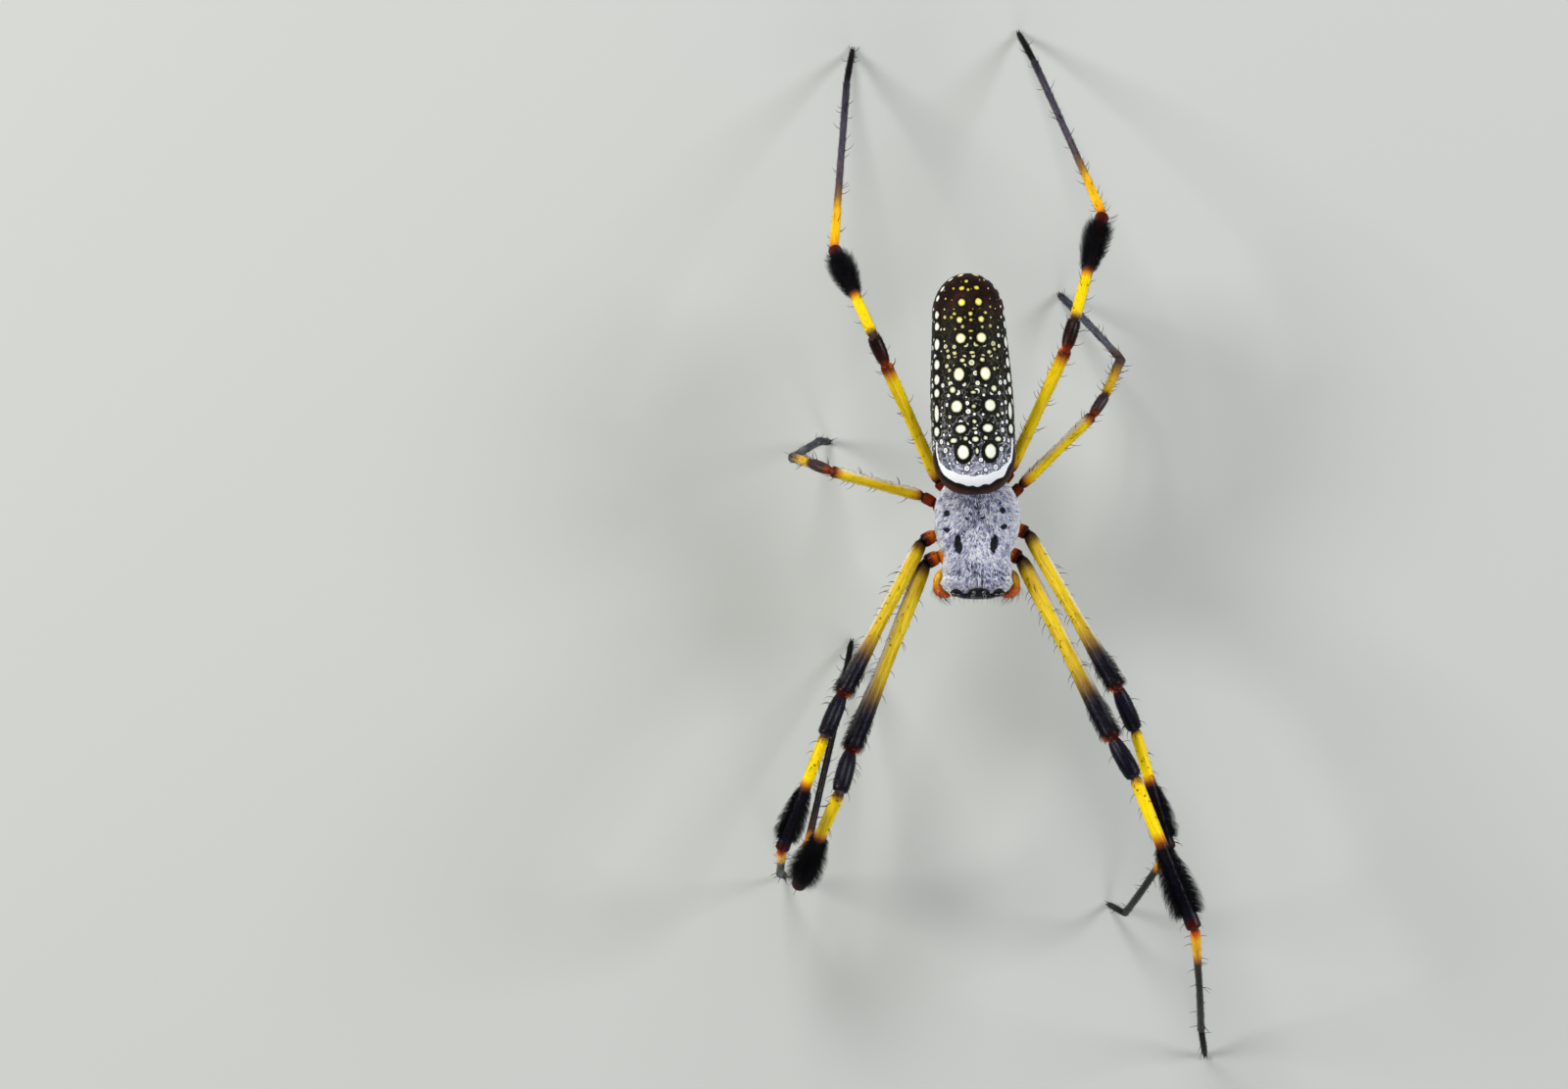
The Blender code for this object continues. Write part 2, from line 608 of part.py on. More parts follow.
def groove_depth(x, y):
    """How far the grooves of the carapace sink its surface at a place."""
    (x1, y1), (x2, y2) = CERVICAL_GROOVE["from"], CERVICAL_GROOVE["to"]
    length = math.hypot(x2 - x1, y2 - y1)
    along = ((abs(x) - x1) * (x2 - x1) + (y - y1) * (y2 - y1)) / length
    across = ((abs(x) - x1) * (y2 - y1) - (y - y1) * (x2 - x1)) / length
    within = smooth_step(-0.6, 0.2, along) * (1.0 - smooth_step(length - 0.2, length + 0.6, along))
    depth = CERVICAL_GROOVE["depth"] * within * math.exp(-(across / CERVICAL_GROOVE["width"]) ** 2)
    pit = math.exp(-(x / FOVEA["width"]) ** 2 - ((y - FOVEA["y"]) / FOVEA["length"]) ** 2)
    return max(depth, FOVEA["depth"] * pit)


def build_carapace():
    """A dome over each cross section; under the face its base is lifted to make room for the jaws."""
    front = CARAPACE_OUTLINE[0][0]
    rear = CARAPACE_OUTLINE[-1][0]
    rings = []
    for index in range(CARAPACE_STATIONS):
        y = front + (rear - front) * index / (CARAPACE_STATIONS - 1)
        half_width, height = curve_through(CARAPACE_OUTLINE, y)
        base = FACE_LIFT["height"] * smooth_step(-FACE_LIFT["from"], -FACE_LIFT["to"], -y)
        margin = base + min(CARAPACE_MARGIN, (height - base) / 2.0)
        ring = []
        for step in range(CARAPACE_ARC_POINTS):
            turn = math.pi * step / (CARAPACE_ARC_POINTS - 1)
            x = half_width * math.cos(turn)
            lift = margin + (height - margin) * math.sin(turn) ** CARAPACE_ROUNDNESS
            ring.append(Vector((x, y, CARAPACE_BASE + lift - groove_depth(x, y))))
        for side in (-1.0, 1.0):
            ring.append(Vector((side * half_width * CARAPACE_UNDER_SHARE, y, CARAPACE_BASE + base)))
        rings.append(ring)
    return add_node("carapace", loft(rings), Vector((0.0, 0.0, CARAPACE_BASE)), "carapace_fur")


def build_sternum():
    corners = [Vector((x, y, 0.0)) for x, y in STERNUM_CORNERS]
    corners += [Vector((-x, y, 0.0)) for x, y in reversed(STERNUM_CORNERS)]
    levels = (
        (CARAPACE_BASE - GAP, 1.0),
        (STERNUM_BOTTOM + STERNUM_EDGE_INSET, 1.0),
        (STERNUM_BOTTOM, 1.0 - STERNUM_EDGE_INSET / STERNUM_CORNERS[2][0]),
    )
    rings = [[Vector((corner.x * share, corner.y * share, z)) for corner in corners] for z, share in levels]
    sternum = add_node("sternum", loft(rings), Vector((0.0, 0.0, STERNUM_BOTTOM)), "sternum_skin")
    front = STERNUM_CORNERS[0][1]
    labium_rings = []
    root = (front + LABIUM["root"], 1.0)
    bend = (front - LABIUM["length"] * LABIUM["tip_share"], 1.0)
    tip = (front - LABIUM["length"], LABIUM["tip_share"])
    for y, share in (root, bend, tip):
        half_width = LABIUM["half_width"] * share
        low = LABIUM["bottom"]
        high = LABIUM["top"]
        labium_rings.append([Vector((half_width, y, low)), Vector((half_width, y, high)),
                             Vector((-half_width, y, high)), Vector((-half_width, y, low))])
    fuse(sternum, [loft(labium_rings)], Vector((0.0, 0.0, STERNUM_BOTTOM)))
    return sternum


def build_chelicera(side_name, side):
    root = Vector((side * CHELICERA["x"], CHELICERA["y"], CARAPACE_BASE + FACE_LIFT["height"] - GAP))
    across = Vector((CHELICERA["half_width"], 0.0, 0.0))
    back = Vector((0.0, CHELICERA["half_depth"], 0.0))
    rings = []
    for share, width, depth in CHELICERA_SECTIONS:
        centre = root + Vector((side * CHELICERA["splay"] * share, 0.0, -CHELICERA["length"] * share))
        rings.append(ellipse(centre, across * width, back * depth, CHELICERA_SIDES))
    chelicera = add_node(f"chelicera_{side_name}", loft(rings), root, "chelicera_skin")
    fang_path = [root + Vector((side * x, y, z)) for x, y, z in FANG_PATH]
    fuse(chelicera, [tube(fang_path, FANG_HALF_WIDTHS, len(fang_path) + 1, FANG_SIDES)], root)
    return chelicera


def build_palp(side_name, side):
    path = [Vector((side * x, y, z)) for x, y, z in PALP_PATH]
    mesh = tube(path, PALP_HALF_WIDTHS, PALP_STATIONS, PALP_SIDES)
    front = STERNUM_CORNERS[0][1] - GAP
    for vertex in mesh.verts:
        vertex.co.y = min(vertex.co.y, front)
    return add_node(f"palp_{side_name}", mesh, path[0], "palp_skin")


def build_eyes(name, mound, eyes, side):
    """A low mound on the slope of the head with the domes of its eyes."""
    centre = Vector((side * mound["x"], mound["y"], mound["z"]))
    slope = math.radians(EYE_SLOPE)
    outward = Vector((0.0, -math.sin(slope), math.cos(slope)))
    downhill = Vector((0.0, -math.cos(slope), -math.sin(slope)))
    across = Vector((1.0, 0.0, 0.0))
    rings = []
    for height, share in EYE_MOUND_SECTIONS:
        middle = centre + outward * (height * EYE_MOUND_THICKNESS)
        rings.append(ellipse(middle, across * (mound["half_width"] * share),
                             downhill * (mound["half_length"] * share), EYE_MOUND_SIDES))
    node = add_node(name, loft(rings), centre, "eye_lens")
    domes = []
    for x, y in eyes:
        dome = bmesh.new()
        bmesh.ops.create_icosphere(dome, subdivisions=1, radius=EYE_HALF_WIDTH)
        place = centre + across * (x * side) - downhill * y + outward * (EYE_MOUND_THICKNESS * EYE_LIFT_SHARE)
        bmesh.ops.translate(dome, verts=dome.verts, vec=place)
        domes.append(dome)
    fuse(node, domes, centre)
    return node


# Rear half of the body

def abdomen_half_width(distance):
    length = (ABDOMEN_REAR - ABDOMEN_FRONT).length
    taper = ABDOMEN_TAPER
    width = ABDOMEN_HALF_WIDTH - taper["narrower_by"] * smooth_step(taper["from"], taper["to"], distance)
    rounding = ABDOMEN_FRONT_ROUNDING["length"]
    power = ABDOMEN_FRONT_ROUNDING["power"]
    if distance < rounding:
        width *= (1.0 - (1.0 - distance / rounding) ** power) ** (1.0 / power)
    past = (distance - (length - ABDOMEN_REAR_ROUNDING)) / ABDOMEN_REAR_ROUNDING
    if past > 0.0:
        width *= math.sqrt(max(1.0 - past * past, 0.0))
    return width


def abdomen_place(distance):
    return ABDOMEN_FRONT.lerp(ABDOMEN_REAR, distance / (ABDOMEN_REAR - ABDOMEN_FRONT).length)


def build_abdomen():
    length = (ABDOMEN_REAR - ABDOMEN_FRONT).length
    along = (ABDOMEN_REAR - ABDOMEN_FRONT).normalized()
    rings = [[ABDOMEN_FRONT]]
    for index in range(1, ABDOMEN_STATIONS):
        distance = length * (1.0 - math.cos(math.pi * index / ABDOMEN_STATIONS)) / 2.0
        half_width = abdomen_half_width(distance)
        half_height = half_width * ABDOMEN_HEIGHT_SHARE
        rings.append(ring_points(abdomen_place(distance), along, half_width, half_height, ABDOMEN_SIDES))
    rings.append([ABDOMEN_REAR])
    return add_node("abdomen", loft(rings), ABDOMEN_FRONT, "abdomen_skin")


def build_pedicel():
    path = [Vector(point) for point in PEDICEL_PATH]
    widths = (PEDICEL_HALF_WIDTH,) * len(path)
    return add_node("pedicel", tube(path, widths, PEDICEL_STATIONS, SEGMENT_SIDES), path[0], "sternum_skin")


def build_spinnerets():
    """A low base under the rear of the abdomen and four cones that spread from it."""
    along = (ABDOMEN_REAR - ABDOMEN_FRONT).normalized()
    centre = abdomen_place(SPINNERETS["along"])
    depth = abdomen_half_width(SPINNERETS["along"]) * ABDOMEN_HEIGHT_SHARE
    down = (along * SPINNERETS["lean"] - UP).normalized()
    root = centre - UP * (depth + GAP + SPINNERETS["sink"])
    side, _ = side_and_up(along)
    lengthwise = side.cross(down)
    rings = []
    for drop, share in SPINNERET_BASE_SECTIONS:
        half_width = SPINNERETS["half_width"] * share
        rings.append(ellipse(root + down * drop, side * half_width, lengthwise * half_width, SPINNERET_SIDES))
    node = add_node("spinnerets", loft(rings), root, "spinneret_skin")
    cones = []
    for across, back in SPINNERET_SPREAD:
        base = root + side * across + lengthwise * back + down * SPINNERET_CONE_ROOT
        spread = (side * across + lengthwise * back) * SPINNERET_CONE_SPREAD
        tip = base + down * SPINNERET_LENGTH + spread
        widths = [SPINNERET_HALF_WIDTH * share for share in SPINNERET_TAPER]
        cones.append(tube((base, base.lerp(tip, 0.5), tip), widths, len(widths) + 1, CONE_SIDES))
    fuse(node, cones, root)
    return node


def centre_on_origin(nodes):
    """Hangs every node on one empty that brings the middle of the base to the origin."""
    corners = [node.matrix_world @ vertex.co for node in nodes for vertex in node.data.vertices]
    low = Vector([min(corner[axis] for corner in corners) for axis in range(3)])
    high = Vector([max(corner[axis] for corner in corners) for axis in range(3)])
    spider = bpy.data.objects.new("spider", None)
    bpy.context.scene.collection.objects.link(spider)
    spider.location = Vector((-(low.x + high.x) / 2.0, -(low.y + high.y) / 2.0, 0.0))
    for node in nodes:
        node.parent = spider


def main():
    clear_scene()
    nodes = [build_carapace(), build_sternum(), build_pedicel(), build_abdomen(), build_spinnerets()]
    for side_name, side in (("left", 1.0), ("right", -1.0)):
        nodes.append(build_chelicera(side_name, side))
        nodes.append(build_palp(side_name, side))
        nodes.append(build_eyes(f"eyes_{side_name}", EYE_MOUND_CORNER, CORNER_EYES, side))
    nodes.append(build_eyes("eyes_median", EYE_MOUND_MIDDLE, MIDDLE_EYES, 1.0))
    for key in LEG_POSES:
        nodes += build_leg(key)
    bpy.context.view_layer.update()
    centre_on_origin(nodes)


main()
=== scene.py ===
# %% [markdown]
# # Golden silk orb weaver
# A female spider, life-size, standing on her eight feet with her head towards -Y. Her body is
# 28 mm long and her longest leg 60 mm, so lengths below are in millimetres and one function
# turns them into metres. The solids loaded first give each part's place; skins, hair and eyes
# are then built over them.

# %% Load the solids
import math
from functools import partial

import bpy
import numpy as np
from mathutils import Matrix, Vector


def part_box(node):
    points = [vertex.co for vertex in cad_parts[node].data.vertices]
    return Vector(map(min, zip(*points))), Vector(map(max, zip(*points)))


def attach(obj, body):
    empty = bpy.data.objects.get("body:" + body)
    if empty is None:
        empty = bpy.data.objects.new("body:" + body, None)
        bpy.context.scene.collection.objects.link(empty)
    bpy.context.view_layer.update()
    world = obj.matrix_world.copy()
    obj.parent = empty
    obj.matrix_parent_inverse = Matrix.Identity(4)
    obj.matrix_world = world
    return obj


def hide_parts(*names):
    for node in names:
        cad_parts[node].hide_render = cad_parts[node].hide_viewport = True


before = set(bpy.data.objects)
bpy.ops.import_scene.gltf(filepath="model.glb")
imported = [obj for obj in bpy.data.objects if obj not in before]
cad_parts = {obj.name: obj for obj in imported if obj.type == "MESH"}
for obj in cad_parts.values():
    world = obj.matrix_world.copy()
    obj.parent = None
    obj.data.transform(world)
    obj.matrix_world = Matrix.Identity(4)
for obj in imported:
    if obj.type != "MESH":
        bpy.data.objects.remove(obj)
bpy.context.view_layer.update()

# %% [markdown]
# ## One frame for all points
# Sizes are set out from the middle of the carapace, whose front edge lies 5.55 mm towards the
# head. The box of the carapace solid tells how far that middle is from the model's origin.

# %% Shift from body sizes to the model
MM = 0.001
CARAPACE_FRONT = -5.55
low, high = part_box("carapace")
SHIFT = np.array([(low[0] + high[0]) / 2 / MM, low[1] / MM - CARAPACE_FRONT, 0.0])


def to_model(points):
    """Points in millimetres from the middle of the carapace, as metres in the model."""
    return (np.asarray(points, float) + SHIFT) * MM


print("shift in mm", SHIFT.round(3))

# %% [markdown]
# ## Camera
# The spider shows her back, so with her feet on the floor the camera looks straight down. A long
# lens from 65 cm keeps the perspective flat, and 136 mm fit across the picture.

# %% Camera above the back
# Place in body sizes, in mm; the picture is VIEW_WIDTH wide where it is CAMERA_DISTANCE away.
CAMERA_PLACE = (-16.70, -1.23, 662.75)
CAMERA_DISTANCE = 650.0
VIEW_WIDTH = 136.0
lens = bpy.data.cameras.new("camera")
lens.sensor_width = 36.0
lens.lens = lens.sensor_width * CAMERA_DISTANCE / VIEW_WIDTH
lens.clip_start = 0.01
camera = bpy.data.objects.new("camera", lens)
camera.location = to_model(CAMERA_PLACE)
bpy.context.scene.collection.objects.link(camera)
bpy.context.scene.camera = camera
print("lens", round(lens.lens, 1), "mm")

# %% [markdown]
# ## Building a finish from nodes
# Each finish is a few nodes that feed one surface shader, so one small function adds a node of
# any kind, sets its values and joins it to others. Colours are sRGB hex, as in a drawing program,
# but a shader works with linear light, so one function turns them.

# %% Finishes and their nodes
def to_linear(colour):
    """Linear red, green and blue, and a full alpha, of an sRGB hex colour."""
    parts = [int(colour[place:place + 2], 16) / 255 for place in (1, 3, 5)]
    return [part / 12.92 if part <= 0.04045 else ((part + 0.055) / 1.055) ** 2.4 for part in parts] + [1.0]


def set_sockets(material, node, sockets):
    """Gives each socket a value, a hex colour or the output of another node."""
    for name, value in sockets.items():
        if isinstance(value, bpy.types.NodeSocket):
            material.node_tree.links.new(value, node.inputs[name])
        else:
            node.inputs[name].default_value = to_linear(value) if isinstance(value, str) else value


def add_node(material, kind, sockets, stops=(), **settings):
    """Adds a node, with colour stops if it is a ramp, and returns its outputs."""
    node = material.node_tree.nodes.new("ShaderNode" + kind)
    for name, value in settings.items():
        setattr(node, name, value)
    for index, (place, colour) in enumerate(stops):
        ramp = node.color_ramp.elements
        element = ramp[index] if index < len(ramp) else ramp.new(place)
        element.position = place
        element.color = to_linear(colour)
    set_sockets(material, node, sockets)
    return node.outputs


def set_surface(material, sockets):
    """Sets or joins sockets of the surface shader."""
    set_sockets(material, material.node_tree.nodes["Principled BSDF"], sockets)


def new_finish(name, sockets):
    """A material with constants on its surface shader; patterns are joined to it later."""
    material = bpy.data.materials.new(name)
    material.use_nodes = True
    set_surface(material, sockets)
    print("finish:", name)
    return material


def place_in_mm(material):
    """Where a point of the piece lies, in millimetres, as the scale for a pattern."""
    place = add_node(material, "TexCoord", {})["Object"]
    return add_node(material, "Mapping", {"Vector": place, "Scale": (1 / MM, 1 / MM, 1 / MM)})[0]


# %% [markdown]
# ## Floor and light
# A pale matt sheet lies under the feet. Two broad lamps at the sides draw a pale line along each
# leg, one stands behind and one before. None is straight above, because a lamp next to the
# camera would shine back from every dark surface as a grey veil.

# %% Floor
# Matt paper has no gloss of its own, so only the shadows of the legs show on it.
FLOOR_HALF = 1.2
floor_paper = new_finish("matt floor paper", {"Base Color": "#B6B8B4", "Roughness": 0.9})
sheet = bpy.data.meshes.new("floor")
sheet.from_pydata([(x, y, 0.0) for x, y in ((-1, -1), (1, -1), (1, 1), (-1, 1))], [], [(0, 1, 2, 3)])
sheet.materials.append(floor_paper)
floor = bpy.data.objects.new("floor", sheet)
floor.scale = (FLOOR_HALF, FLOOR_HALF, 1.0)
bpy.context.scene.collection.objects.link(floor)
print("floor", 2 * FLOOR_HALF, "m wide")

# %% Lamps and sky
LAMPS = {
    "lamp_left": ((-0.42, 0.08, 0.30), 0.18, 1.75, "#FFFDF8"),
    "lamp_right": ((0.42, 0.12, 0.28), 0.18, 1.55, "#F6FAFF"),
    "lamp_rear": ((-0.16, 0.46, 0.46), 0.24, 2.3, "#FFFFFF"),
    "lamp_front": ((0.10, -0.50, 0.30), 0.22, 0.9, "#FFFFFF"),
}
LAMP_AIM = (0.0, 0.0, 0.012)
for name, (place, width, power, colour) in LAMPS.items():
    lamp = bpy.data.lights.new(name, "AREA")
    lamp.shape = "DISK"
    lamp.size = width
    lamp.energy = power
    lamp.color = to_linear(colour)[:3]
    holder = bpy.data.objects.new(name, lamp)
    holder.location = place
    x, y, z = np.subtract(LAMP_AIM, place)
    holder.rotation_euler = (math.atan2(math.hypot(x, y), -z), 0.0, math.atan2(y, x) - math.pi / 2)
    bpy.context.scene.collection.objects.link(holder)
world = bpy.data.worlds.new("pale room")
world.use_nodes = True
sky = world.node_tree.nodes["Background"]
sky.inputs["Color"].default_value = to_linear("#E9EDF0")
sky.inputs["Strength"].default_value = 0.20
bpy.context.scene.world = world
bpy.context.scene.view_settings.view_transform = "Standard"
print(len(LAMPS), "lamps")

# %% [markdown]
# ## Skins as grids
# A leg, a feeler or an abdomen is a long round form, so each skin is a grid: rows of points
# along it, each row once round. Its rows and columns are also an unwrap of the skin's own shape,
# and a random cell of it is a place where a hair can grow.

# %% Smooth curves, steps and clouds
def smooth_curve(stations, at):
    """Values at places along rows of (place, values...), on smooth cubic pieces."""
    rows = np.asarray(stations, float)
    at = np.clip(np.atleast_1d(np.asarray(at, float)), rows[0, 0], rows[-1, 0])
    piece = np.clip(np.searchsorted(rows[:, 0], at, side="right") - 1, 0, len(rows) - 2)
    start, end = rows[piece], rows[piece + 1]
    before, after = rows[np.maximum(piece - 1, 0)], rows[np.minimum(piece + 2, len(rows) - 1)]
    span = (end[:, 0] - start[:, 0])[:, None]
    share = (at[:, None] - start[:, :1]) / span
    rest = 1 - share
    slope_start = (end - before) / (end[:, :1] - before[:, :1])
    slope_end = (after - start) / (after[:, :1] - start[:, :1])
    values = (start * (1 + 2 * share) * rest ** 2 + slope_start * span * share * rest ** 2
              + end * share ** 2 * (3 - 2 * share) - slope_end * span * share ** 2 * rest)
    return values[:, 1:]


def smooth_step(low, high, value):
    """0 before low, 1 past high and a soft rise between; it falls if low is the larger."""
    share = np.clip((value - low) / (high - low), 0, 1)
    return share * share * (3 - 2 * share)


def hump(distance, width):
    """1 at no distance, falling off softly over the width."""
    return np.exp(-(distance / width) ** 2)


def unit(vectors):
    """The same directions, each 1 long."""
    return vectors / np.maximum(np.linalg.norm(vectors, axis=-1, keepdims=True), 1e-9)


def round_angles(count):
    """Even angles once round, without the last that would meet the first."""
    return 2 * math.pi * np.arange(count) / count


def cloud_over(points, size, seed):
    """Smooth random values, mostly between -1 and 1, that change over about size mm."""
    draw = np.random.default_rng(seed)
    beams = draw.normal(0, 2 / size, (40, 3))
    return np.cos(points @ beams.T + draw.uniform(0, 2 * math.pi, 40)).sum(axis=-1) / math.sqrt(20)


# %% A mesh from arrays
FIELD_KINDS = {1: ("FLOAT", "value"), 3: ("FLOAT_VECTOR", "vector"), 4: ("FLOAT_COLOR", "color")}


def make_piece(name, points, faces, material, corner_uv, fields, replaces):
    """One mesh in the model: faces is a list of arrays whose rows are the corners of a face."""
    data = bpy.data.meshes.new(name)
    corners = np.concatenate([part.reshape(-1) for part in faces]).astype(np.int32)
    sizes = np.concatenate([np.full(len(part), part.shape[1]) for part in faces])
    data.vertices.add(len(points))
    data.vertices.foreach_set("co", to_model(points).astype(np.float32).reshape(-1))
    data.loops.add(len(corners))
    data.loops.foreach_set("vertex_index", corners)
    data.polygons.add(len(sizes))
    data.polygons.foreach_set("loop_start", (np.cumsum(sizes) - sizes).astype(np.int32))
    data.update(calc_edges=True)
    data.shade_smooth()
    layer = data.uv_layers.new(name="OFBake")
    layer.data.foreach_set("uv", corner_uv.astype(np.float32).reshape(-1))
    for key, values in fields.items():
        values = np.asarray(values, np.float32)
        kind, form = FIELD_KINDS[1 if values.ndim == 1 else values.shape[1]]
        data.attributes.new(key, kind, "POINT").data.foreach_set(form, values.reshape(-1))
    data.validate()
    data.materials.append(material)
    piece = bpy.data.objects.new(name, data)
    bpy.context.scene.collection.objects.link(piece)
    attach(piece, "root")
    if replaces:
        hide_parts(*replaces)
    print(f"{name}: {int((sizes - 2).sum())} triangles")


# %% A skin from a grid
UV_MARGIN = 0.01


def grid_uv(row, column, shape):
    """Place on the unwrap; a margin above and below is left for the two ends."""
    return np.stack([column / shape[1], UV_MARGIN + (1 - 2 * UV_MARGIN) * row / (shape[0] - 1)], axis=-1)


def grid_skin(name, grid, material, fields=(), replaces=()):
    """A closed skin over a grid of points (rows, columns, 3); both ends close on a middle point."""
    rows, columns = grid.shape[:2]
    points = np.concatenate([grid.reshape(-1, 3), [grid[0].mean(axis=0), grid[-1].mean(axis=0)]])
    row, column = np.divmod(np.arange((rows - 1) * columns), columns)
    around, level = np.arange(columns), np.zeros(columns, int)
    pole = UV_MARGIN * (rows - 1) / (1 - 2 * UV_MARGIN)
    faces, uv = [], []
    for base_row, base_column, steps, end in (
            (row, column, ((0, 0), (0, 1), (1, 1), (1, 0)), None),
            (level, around, ((0, 1), (0, 0)), (rows * columns, -pole)),
            (level + rows - 1, around, ((0, 0), (0, 1)), (rows * columns + 1, pole))):
        corners = [(base_row + down) * columns + (base_column + across) % columns for down, across in steps]
        places = [grid_uv(base_row + down, base_column + across, grid.shape) for down, across in steps]
        if end:
            corners.append(np.full(columns, end[0]))
            places.append(grid_uv(base_row + end[1], base_column + 0.5, grid.shape))
        faces.append(np.stack(corners, axis=1))
        uv.append(np.stack(places, axis=1).reshape(-1, 2))
    spread = {}
    for key, values in dict(fields).items():
        ends = [values[edge].reshape(columns, -1).mean(axis=0)[None] for edge in (0, -1)]
        flat = np.concatenate([values.reshape(rows * columns, -1), *ends])
        spread[key] = flat[:, 0] if flat.shape[1] == 1 else flat
    make_piece(name, points, faces, material, np.concatenate(uv), spread, replaces)


# %% [markdown]
# ## Hair as tapered tufts
# A spider's hairs are stiff and each stands in its own socket, so a coat is many thin tapered
# spikes. Each is a closed three-sided mesh, because hair made with particles is lost when the
# model is exported. A spike rises along the skin's normal and bends over along the lie of the
# coat. All spikes of a coat are worked out together as arrays and become one mesh.

# %% Places for hairs
def scatter(grid, count, seed, weight=None):
    """Random places on a grid skin, as many for each square millimetre; weight changes that."""
    draw = np.random.default_rng(seed)
    rolled = np.roll(grid, -1, axis=1)
    a, b, c, d = grid[:-1], rolled[:-1], rolled[1:], grid[1:]
    chance = np.linalg.norm(np.cross(c - a, d - b), axis=2)
    if weight is not None:
        chance = chance * weight[:-1]
    cell = draw.choice(chance.size, count, p=(chance / chance.sum()).reshape(-1))
    row, column = np.unravel_index(cell, chance.shape)
    down, across = draw.random((2, count))
    after = (column + 1) % grid.shape[1]

    def pick(values):
        """The value of a field of the skin at each place."""
        values = np.asarray(values, float)
        extra = (1,) * (values.ndim - 2)
        s, t = down.reshape(-1, *extra), across.reshape(-1, *extra)
        return ((values[row, column] * (1 - t) + values[row, after] * t) * (1 - s)
                + (values[row + 1, column] * (1 - t) + values[row + 1, after] * t) * s)

    along = unit(grid[row + 1, column] - grid[row, column])
    side = unit(grid[row, after] - grid[row, column])
    return {"root": pick(grid), "along": along, "normal": unit(np.cross(side, along)), "pick": pick,
            "uv": grid_uv(row + down, column + across, grid.shape), "draw": draw, "count": count}


# %% Growing the hairs
TUFT_PATCH = 0.003


def spike_faces(rings):
    """Triangles of one closed spike: its foot, its rings of three points and its tip."""
    faces = [(0, 2, 1)]
    for ring in range(rings - 1):
        for corner in range(3):
            here, there = 3 * ring + corner, 3 * ring + (corner + 1) % 3
            faces += [(here, there, there + 3), (here, there + 3, here + 3)]
    last = 3 * (rings - 1)
    return np.array(faces + [(last + corner, last + (corner + 1) % 3, 3 * rings) for corner in range(3)])


def grow_hairs(name, place, lie, length, rise, width, material, tone, slot, rings=2, sway=0.15, sink=0.06):
    """Three-sided tapered spikes, one at each place; lie is the direction of the coat there."""
    count, draw, normal = place["count"], place["draw"], place["normal"]
    length, rise, width = (np.broadcast_to(value, count).astype(float) for value in (length, rise, width))
    lie = unit(lie - normal * np.sum(lie * normal, axis=1, keepdims=True))
    across = np.cross(lie, normal)
    bend = across * (sway * length * draw.uniform(-1, 1, count))[:, None]

    def spine(share):
        return (place["root"] + normal * ((rise + sink) * (1 - (1 - share) ** 1.8) - sink)[:, None]
                + lie * (length * share ** 1.25)[:, None] + bend * share ** 2)

    size = 3 * rings + 1
    points = np.empty((count, size, 3))
    for ring in range(rings):
        share = ring / rings
        ahead = unit(spine(share + 0.05) - spine(share))
        upward = unit(np.cross(across, ahead))
        flat = unit(np.cross(ahead, upward))
        radius = (width / 2 * (1 - share) ** 0.7)[:, None]
        for corner in range(3):
            turn = 2 * math.pi * corner / 3 + math.pi / 2
            outward = flat * math.cos(turn) + upward * math.sin(turn)
            points[:, 3 * ring + corner] = spine(share) + radius * outward
    points[:, -1] = spine(1.0)
    points[..., 2] = np.maximum(points[..., 2], 0.0)
    template = spike_faces(rings)
    faces = (template[None] + (np.arange(count) * size)[:, None, None]).reshape(-1, 3)
    local = [(index // 3 / rings - 0.5, index % 3 / 2 - 0.5) for index in range(size - 1)] + [(0.5, 0.0)]
    uv = (place["uv"][:, None] + TUFT_PATCH * np.array(local)[None])[:, template.reshape(-1)]
    make_piece(name, points.reshape(-1, 3), [faces], material, uv, {"tone": np.repeat(tone, size)}, ())


# %% A plain coat, and the finish of its hairs
def short_coat(name, grid, count, seed, sizes, material, tones, slot, weight=None, lie=None, stray=0.0,
               rings=2, sink=0.06):
    """A plain coat of (length, rise, width) in mm; tones are the darkest and the spread above it."""
    place = scatter(grid, count, seed, weight)
    draw = place["draw"]
    lies = place["along"] if lie is None else np.array(lie) + draw.normal(0, stray, (count, 3))
    tone = tones[0] + (tones[1] * draw.random(count) if tones[1] else np.zeros(count))
    grow_hairs(name, place, lies, *sizes, material, tone, slot, rings, sink=sink)


def hair_finish(name, stops, sockets):
    """Stiff hair whose colour follows the tone of each spike."""
    finish = new_finish(name, sockets)
    tone = add_node(finish, "Attribute", {}, attribute_name="tone")["Fac"]
    set_surface(finish, {"Base Color": add_node(finish, "ValToRGB", {"Fac": tone}, stops)[0]})
    return finish


# %% [markdown]
# ## Legs: the pose
# Each leg has a coxa and trochanter next to the body, then femur, patella, tibia, metatarsus and
# tarsus. The pose gives each segment's heading in the plane of the floor and its rise above it.
# The fall of the last two is worked out, so that the tip of the foot comes down to the floor.

# %% Lengths and pose
SEGMENTS = ("coxa", "femur", "patella", "tibia", "metatarsus", "tarsus")
LEG_LENGTHS = {
    1: (18.3, 3.8, 14.0, 19.3, 4.2),
    2: (16.1, 4.0, 10.8, 14.7, 3.4),
    3: (8.8, 2.3, 5.1, 7.9, 2.5),
    4: (13.1, 2.7, 11.5, 18.0, 4.0),
}
HIP_HEIGHT = 12.75
